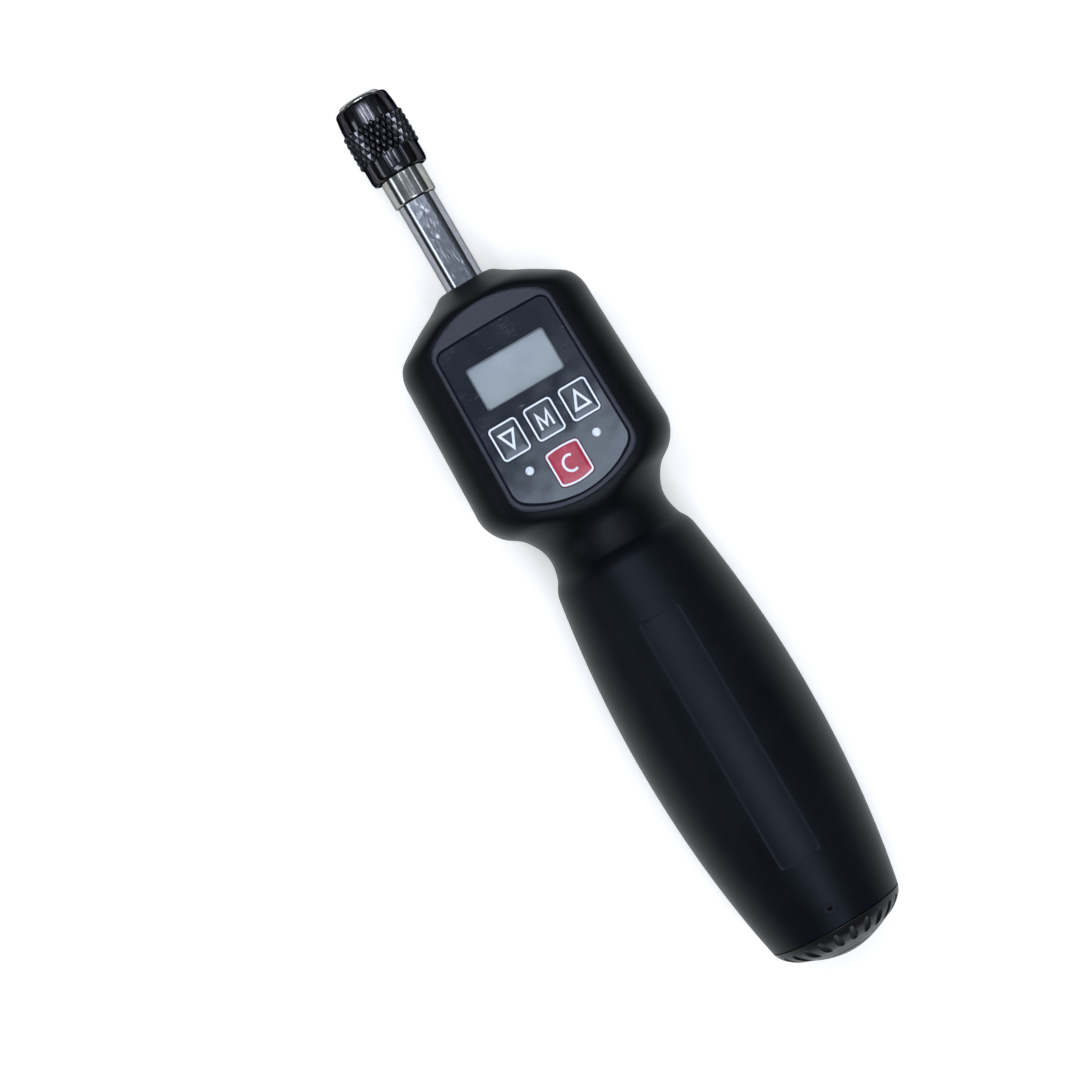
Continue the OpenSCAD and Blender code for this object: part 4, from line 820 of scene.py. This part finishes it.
def stroked(name, points, width, x, at, low, high, closed):
    """A flat stroke of even width along a line of points, with mitred corners."""
    points, loops = [Vector(p) for p in points], []
    for i, here in enumerate(points):
        steps = [points[i] - points[i - 1], points[(i + 1) % len(points)] - points[i]]
        if not closed:
            steps = steps[1:] if i == 0 else steps[:1] if i == len(points) - 1 else steps
        sides = [Vector((-s.y, s.x)).normalized() for s in steps]
        mitre = sum(sides, Vector((0.0, 0.0))).normalized()
        reach = mitre * min(width / 2 / max(mitre.dot(sides[0]), 0.3), width * 1.25)
        edges = here - reach, here + reach
        loops.append([(x + p.x, p.y - at, low) for p in edges]
                     + [(x + p.x, p.y - at, high) for p in edges[::-1]])
    return skinned(name, loops, closed)


white_print = mottled("white_print", (0.50, 0.53, 0.61), (0.64, 0.68, 0.77), 4.0, 4.0, stops=(0.25, 0.6),
                      rough=0.3)
low, high, inner = KEY_RIM_TOP - PRINT_SUNK, KEY_RIM_TOP + PRINT_T, BORDER_IN + BORDER_W
border_levels = (-BORDER_IN, low), (-BORDER_IN, high), (-inner, high), (-inner, low)
for body, outline, (x, at) in zip(KEY_BODIES, KEY_OUTLINES, key_spots):
    points, closed = LEGENDS[body]
    border = raised("border", outline, at, border_levels, x, True)
    sign = stroked("sign", points, STROKE_W, x, at, KEY_TOP - PRINT_SUNK, KEY_TOP + PRINT_T, closed)
    legend = gathered(body + "_legend", [border, sign])
    white_print.on(legend)
    fitted(legend, body, "key_red" if body == "clear_key" else "key_black")


# The display: a clear window set in the panel over a grey liquid-crystal cell with nothing showing, lit
# from behind by a white diffuser plate on the board.
clear_window = Finish("clear_window", roughness=0.06, ior=1.5)
wiped = clear_window.grain(0.2, 4.0)
clear_window.feed(colour=clear_window.colours(wiped, (0.3, (0.42, 0.47, 0.52)), (0.75, (0.52, 0.57, 0.62))),
                  alpha=0.20 + wiped * 0.12, roughness=0.05 + wiped * 0.10)
clear_window.on(nodes["lcd_window"])
cell_grey = Finish("liquid_crystal_grey", roughness=0.25)
cx, cy, _ = cell_grey.xyz()
# Painted shading on the blank cell: its grey is painted lighter and bluer at the end toward the chuck and
# darker toward the grip, and painted shade darkens it along both side edges of its recess.
down = (cy + (LCD_AT - LCD_L / 2)) * (-1.0 / LCD_L)
rim = (cx.unsigned() - (LCD_W / 2 - 0.9)).between(1.0, 0.0)
mottle = cell_grey.grain(0.5, 3.0)
cell_grey.feed(colour=cell_grey.mixed(rim, (0.15, 0.17, 0.20), cell_grey.colours(
    down + mottle * 0.1, (0.0, (0.27, 0.32, 0.41)), (0.5, (0.235, 0.275, 0.32)), (1.0, (0.20, 0.235, 0.25)))))
cell_grey.on(nodes["lcd_module"])
diffuser = mottled("white_plastic", (0.70, 0.70, 0.67), (0.80, 0.80, 0.77), 0.8)
diffuser.on(nodes["lcd_backlight"], nodes["status_leds"], nodes["battery_cradle"])


# The two status lights: milky domed pins that stand in holes of the panel over small lamps on the board.
DOME_TOP, DOME_FOOT, PIN_TOP, PIN_FOOT, PIN_SIDES = 18.42, 18.28, 18.25, 14.05, 40
pin_levels = [(LIGHT_R, PIN_FOOT), (LIGHT_R, PIN_TOP)] + [
    (LIGHT_R * math.cos(a), share_of(DOME_FOOT, DOME_TOP, math.sin(a))) for a in (0.3, 0.6, 0.9, 1.2, 1.4)]
domes = [skinned("dome", [[(x + r * math.cos(a), r * math.sin(a) - at, z) for a in full_turn(PIN_SIDES)]
                          for r, z in pin_levels]) for x, at in light_spots]
lights = gathered("domed_lights", domes, 50.0)
milk = mottled("milky_light", (0.46, 0.50, 0.58), (0.60, 0.64, 0.72), 1.2, rough=0.22)
milk.on(lights)
fitted(lights, "tester", "light_pipe", "light_pipes")


# The electronics in the head: a green board on four screws, with the key switches, the display and the
# lamps on its front, and the controller chip and the buzzer on its back.
resist = Finish("solder_resist", roughness=0.3)
weave = resist.grain(3.0, 2.0, (1.0, 0.3, 1.0))
copper = resist.grain(0.35, 1.0, (0.3, 1.0, 1.0)).between(0.50, 0.53)
resist.feed(colour=resist.mixed(copper, (0.010, 0.085, 0.035), (0.022, 0.16, 0.06)),
            roughness=0.25 + weave * 0.15)
resist.relief(copper, 0.03)
resist.on(nodes["main_board"], nodes["charge_board"])
moulding = mottled("black_moulding", (0.016, 0.016, 0.017), (0.034, 0.034, 0.035), 3.0, stops=(0.3, 0.8),
                   depth_mm=0.01)
moulding.on(nodes["key_switches"], nodes["controller_chip"], nodes["buzzer"])
spring_steel.on(nodes["board_screws"], nodes["bulkhead_screws"])


# The torque sensor: a ground steel tube between a hub pinned to the shaft and a flange screwed to the
# handle. Four strain gauges are glued round it, and two thin leads take their signal to the board.
sensor_steel = mottled("sensor_steel", (0.42, 0.44, 0.47), (0.62, 0.64, 0.67), 2.6, stretch=(0.05, 5.0, 0.05),
                       rough=0.22, rougher=0.2, depth_mm=0.006, metallic=1.0)
sensor_steel.on(nodes["torque_sensor"])
ball_steel.on(nodes["sensor_pin"])
film = mottled("gauge_film", (0.58, 0.24, 0.04), (0.78, 0.42, 0.11), 1.2, 0.0, (1.0, 8.0, 1.0), (0.40, 0.60),
               rough=0.35)
film.on(nodes["strain_gauges"])
sheath = mottled("white_sheath", (0.62, 0.62, 0.60), (0.76, 0.76, 0.75), 1.5, rough=0.4)
sheath.on(nodes["sensor_leads"])
red_sheath = mottled("red_sheath", (0.36, 0.012, 0.010), (0.52, 0.022, 0.018), 1.5, rough=0.4)
red_sheath.on(nodes["battery_leads"])


# The handle's core, a stiff glass-filled moulding screwed to the sensor's flange, and at its rear the
# bulkhead that carries the charging socket, held in it by a set screw.
core_black = mottled("glass_filled_black", (0.028, 0.028, 0.030), (0.050, 0.050, 0.054), 5.0,
                     stretch=(1.0, 0.25, 1.0), stops=(0.3, 0.8), rough=0.55, depth_mm=0.012)
core_black.on(nodes["handle_core"], nodes["rear_bulkhead"])


# The cell and its contacts: a shrink-wrapped lithium cell in a white cradle, between a nickel plate at its
# nub and a coil spring at its rear.
CELL_MID, WRAP_HALF_L, BARE_R = 168.0, 31.0, 8.1
wrap = Finish("shrink_wrap", roughness=0.3)
off_middle = (wrap.xyz()[1] + CELL_MID).unsigned()
creases = wrap.grain(0.8, 3.0, (1.0, 0.3, 1.0))
can_end = wrap.from_axis().between(BARE_R + 0.3, BARE_R) * off_middle.between(WRAP_HALF_L, WRAP_HALF_L + 2.0)
foil = wrap.colours(creases, (0.3, (0.045, 0.12, 0.30)), (0.7, (0.075, 0.18, 0.40)))
wrap.feed(colour=wrap.mixed(can_end, foil, (0.56, 0.55, 0.53)), metallic=can_end,
          roughness=0.22 + creases * 0.16)
wrap.on(nodes["battery"])
nickel.on(nodes["front_contact"], nodes["rear_contact_spring"])


# The grip: a black soft-touch rubber sleeve over the core, swelling to a belly. On its front a shallow
# sunk pad runs lengthways, and near the end a pin-sized hole leads to the bulkhead's set screw.
GRIP_L, BELLY_R, BELLY_AT, TAIL_R, GRIP_WALL = 97.5, 21.3, 45.6, 16.4, 2.75
SHOULDER_L, SHOULDER_DROP, FRONT_POWER, REAR_POWER = 3.6, 1.0, 1.9, 2.15
PAD_MID, PAD_L, PAD_W, PAD_CORNER, PAD_SINK = 166.8, 63.2, 9.8, 0.9, 0.20
PAD_EASE, HOLE_AT, HOLE_R, CAP_AT, AROUND_STEPS = 0.30, 211.1, 0.65, 215.9, 110


def grip_r(at):
    s = at - SEAM
    chord = BELLY_R - GRIP_FRONT_R - SHOULDER_DROP
    front = BELLY_R - chord * (max(BELLY_AT - s, 0.0) / BELLY_AT) ** FRONT_POWER
    rear = BELLY_R - (BELLY_R - TAIL_R) * (max(s - BELLY_AT, 0.0) / (GRIP_L - BELLY_AT)) ** REAR_POWER
    return (front if s < BELLY_AT else rear) - SHOULDER_DROP * max(1 - s / SHOULDER_L, 0.0) ** 2


def sunk(x, at):
    """How far the pad is sunk at a place, from 0 to 1, falling away softly round its rounded outline."""
    over = [abs(x) - PAD_W / 2 + PAD_CORNER, abs(at - PAD_MID) - PAD_L / 2 + PAD_CORNER]
    out = math.hypot(*(max(v, 0.0) for v in over)) + min(max(over), 0.0) - PAD_CORNER
    t = max(0.0, min(1.0, (PAD_EASE - out) / (2 * PAD_EASE)))
    return t * t * (3 - 2 * t)


# Columns across the pad lie closest at its long edges, and stations along the grip at its ends and the pad's
half_columns = [0.8 * k for k in range(5)] + [3.8, 4.2] + [4.45 + 0.15 * k for k in range(7)] + [
    5.6, 6.0, 6.6, 7.3, 8.0]
columns = [-x for x in half_columns[:0:-1]] + half_columns
pad_ends = [PAD_MID + side * (PAD_L / 2 + step) for side in (-1, 1) for step in
            (-1.0, -0.7, -0.45, -0.3, -0.15, 0.0, 0.15, 0.3, 0.45)]
front_stations = [SEAM + 0.05 + 0.3 * k for k in range(13)]
plain_stations = [SEAM + 4.2 + 1.15 * k for k in range(81)]
stations = sorted(set(front_stations + [CAP_AT - 0.3, CAP_AT - 0.1] + pad_ends + [
    at for at in plain_stations if all(abs(at - p) > 0.4 for p in pad_ends)]))


def grip_ring(at, inset):
    """A ring whose columns over the pad keep their distance from its middle, so its long edges run true."""
    r = grip_r(at) - inset
    side = math.asin(columns[-1] / r)
    around = [side + (2 * math.pi - 2 * side) * k / AROUND_STEPS for k in range(1, AROUND_STEPS)]
    sink = 0.0 if inset == GRIP_WALL else PAD_SINK
    top = [(x, math.sqrt(r * r - x * x) - sink * sunk(x, at)) for x in columns]
    return [(x, -at, z) for x, z in top + [(r * math.sin(a), r * math.cos(a)) for a in around]]


grip = skinned("rubber_grip", [grip_ring(at, 0.0) for at in stations] + [grip_ring(CAP_AT, 0.12)]
               + [grip_ring(at, GRIP_WALL) for at in stations[::-3]], True, 40.0)
pierced(grip, [rod_between("access", (0.0, -HOLE_AT, 5.0), (0.0, -HOLE_AT, 25.0), HOLE_R, 32)], 40.0)
rubber = Finish("grip_rubber", specular=0.12, specular_tint=(0.7, 0.84, 1.0))
gx, gy, gz = rubber.xyz()
on_top = gz.between(8.0, 12.0)
from_hole = (gx * gx + (gy + HOLE_AT) * (gy + HOLE_AT)) ** 0.5
lifted_rim = from_hole.between(2.1, 1.5) * from_hole.between(0.7, 1.2) * on_top
skin_grain = rubber.grain(8.0, 2.0)
palm = rubber.grain(0.09, 5.0)
pad_across = (gx.unsigned() - PAD_W / 2).between(0.0, -0.5)
pad_along = ((gy + PAD_MID).unsigned() - PAD_L / 2).between(0.0, -0.5)
pad_out = pad_across * pad_along * on_top
scattered = rubber.node("ShaderNodeTexVoronoi", None, {"Vector": rubber.place, "Scale": 0.125 / MM})
pits = Reading(rubber, scattered.outputs["Distance"]).between(0.045, 0.02)
rubber.feed(colour=rubber.mixed(pad_out, rubber.colours(
    palm, (0.35, (0.0008, 0.0012, 0.0022)), (0.75, (0.0020, 0.0026, 0.0042))), (0.0022, 0.0030, 0.0050)),
    roughness=0.34 + palm * 0.16 + skin_grain * 0.04)
pad_grain = pad_out * rubber.grain(0.5, 3.0)
rubber.relief(skin_grain * 0.10 + lifted_rim * 0.25 - pits * 0.5 + pad_grain * 0.25, 0.10)
rubber.on(grip)
fitted(grip, "tester", "grip_rubber", "grip_sleeve")


# The charging socket: a black moulded barrel on a small round board, its bore and centre pin nickelled.
# It shows in the middle of the end cap.
BORE_R = 1.8
jack_black = Finish("socket_black", roughness=0.4)
plated = jack_black.from_axis().between(BORE_R + 0.02, BORE_R)
speck = jack_black.grain(3.0, 3.0)
jack_black.feed(colour=jack_black.mixed(plated, jack_black.colours(
    speck, (0.3, (0.010, 0.010, 0.011)), (0.8, (0.022, 0.022, 0.023))), (0.50, 0.48, 0.44)),
    metallic=plated, roughness=0.34 + speck * 0.12)
jack_black.on(nodes["charge_jack"])


# The end cap: a black moulded dome with fingertip flutes round its shoulder. Its threaded collar screws
# into the bulkhead over an O-ring, and its middle is open round the charging socket.
CAP_FRONT, CAP_END, CAP_HOLE_R, CAP_WALL, FLUTES = 216.05, 223.9, 3.18, 2.0, 24
COLLAR_R, COLLAR_IN_R, COLLAR_FROM, THREAD_PITCH, THREAD_DEPTH = 9.55, 8.05, 208.65, 1.5, 0.35
DOME = ((0.06, 0.990), (0.256, 0.945), (0.4, 0.87), (0.54, 0.78), (0.7, 0.6), (0.83, 0.47), (0.93, 0.33))
end_cap = turned("fluted_cap", [
    (COLLAR_IN_R, COLLAR_FROM, 0), (COLLAR_R, COLLAR_FROM, 0.2), (COLLAR_R, CAP_FRONT, 0),
    (TAIL_R, CAP_FRONT, 0.2)]
    + [(TAIL_R * r, CAP_FRONT + (CAP_END - CAP_FRONT) * s, 1.2) for s, r in DOME]
    + [(CAP_HOLE_R, CAP_END, 0.25), (CAP_HOLE_R, CAP_END - CAP_WALL, 0),
       (COLLAR_IN_R, CAP_FRONT + CAP_WALL, 0)], 192)
black_cap = Finish("cap_black", specular=0.2)
ex, ey, ez = black_cap.xyz()
helix = black_cap.number("FRACT", black_cap.number("ARCTAN2", ez, ex) / (2 * math.pi) - ey / THREAD_PITCH)
thread = (helix - 0.5).unsigned() * black_cap.from_axis().between(COLLAR_R + 0.05, COLLAR_R + 0.03) * 2.0
cap_grain = black_cap.grain(7.0, 2.0)
fingers = black_cap.grain(0.25, 4.0)
black_cap.feed(colour=black_cap.colours(fingers, (0.3, (0.0010, 0.0011, 0.0013)),
                                        (0.75, (0.0024, 0.0025, 0.0028))), roughness=0.34 + fingers * 0.16)
black_cap.relief(cap_grain * 0.03 + thread, THREAD_DEPTH)
flute = Recipe("cap_flutes", count=FLUTES, radius=14.1 * MM, at=219.3 * MM, tilt=math.radians(50.0),
               width=0.95 * MM, half_length=3.2 * MM)
nth = Reading(flute, flute.node("GeometryNodeInputIndex").outputs[0])
turn = (nth + 0.5) / flute.size("count") * (2 * math.pi)
out_x, out_z = flute.number("COSINE", turn), flute.number("SINE", turn)
lean, fall = flute.number("SINE", flute.size("tilt")), flute.number("COSINE", flute.size("tilt"))
ring_points = flute.node("GeometryNodePoints", None, (flute.size("count"), flute.vector(
    out_x * flute.size("radius"), flute.size("at") * -1.0, out_z * flute.size("radius")))).outputs[0]
aim = flute.node("FunctionNodeAlignRotationToVector", {"axis": "Z"}, {
    "Vector": flute.vector(out_x * lean * -1.0, fall * -1.0, out_z * lean * -1.0)}).outputs[0]
gouge = flute.node("GeometryNodeMeshUVSphere", None, {"Segments": 20, "Rings": 14, "Radius": 1.0}).outputs[0]
gouges = flute.node("GeometryNodeInstanceOnPoints", None, {
    "Points": ring_points, "Instance": gouge, "Rotation": aim,
    "Scale": flute.vector(flute.size("width"), flute.size("width"), flute.size("half_length"))}).outputs[0]
carved = flute.node("GeometryNodeMeshBoolean", {"operation": "DIFFERENCE", "solver": "EXACT"}, {
    "Mesh 1": flute.given["Geometry"],
    "Mesh 2": flute.node("GeometryNodeRealizeInstances", None, (gouges,)).outputs[0]}).outputs[0]
flute.run(end_cap, carved, black_cap.material)
cleaned(end_cap, 32.0, False)
fitted(end_cap, "cap", "cap_plastic", "end_cap")
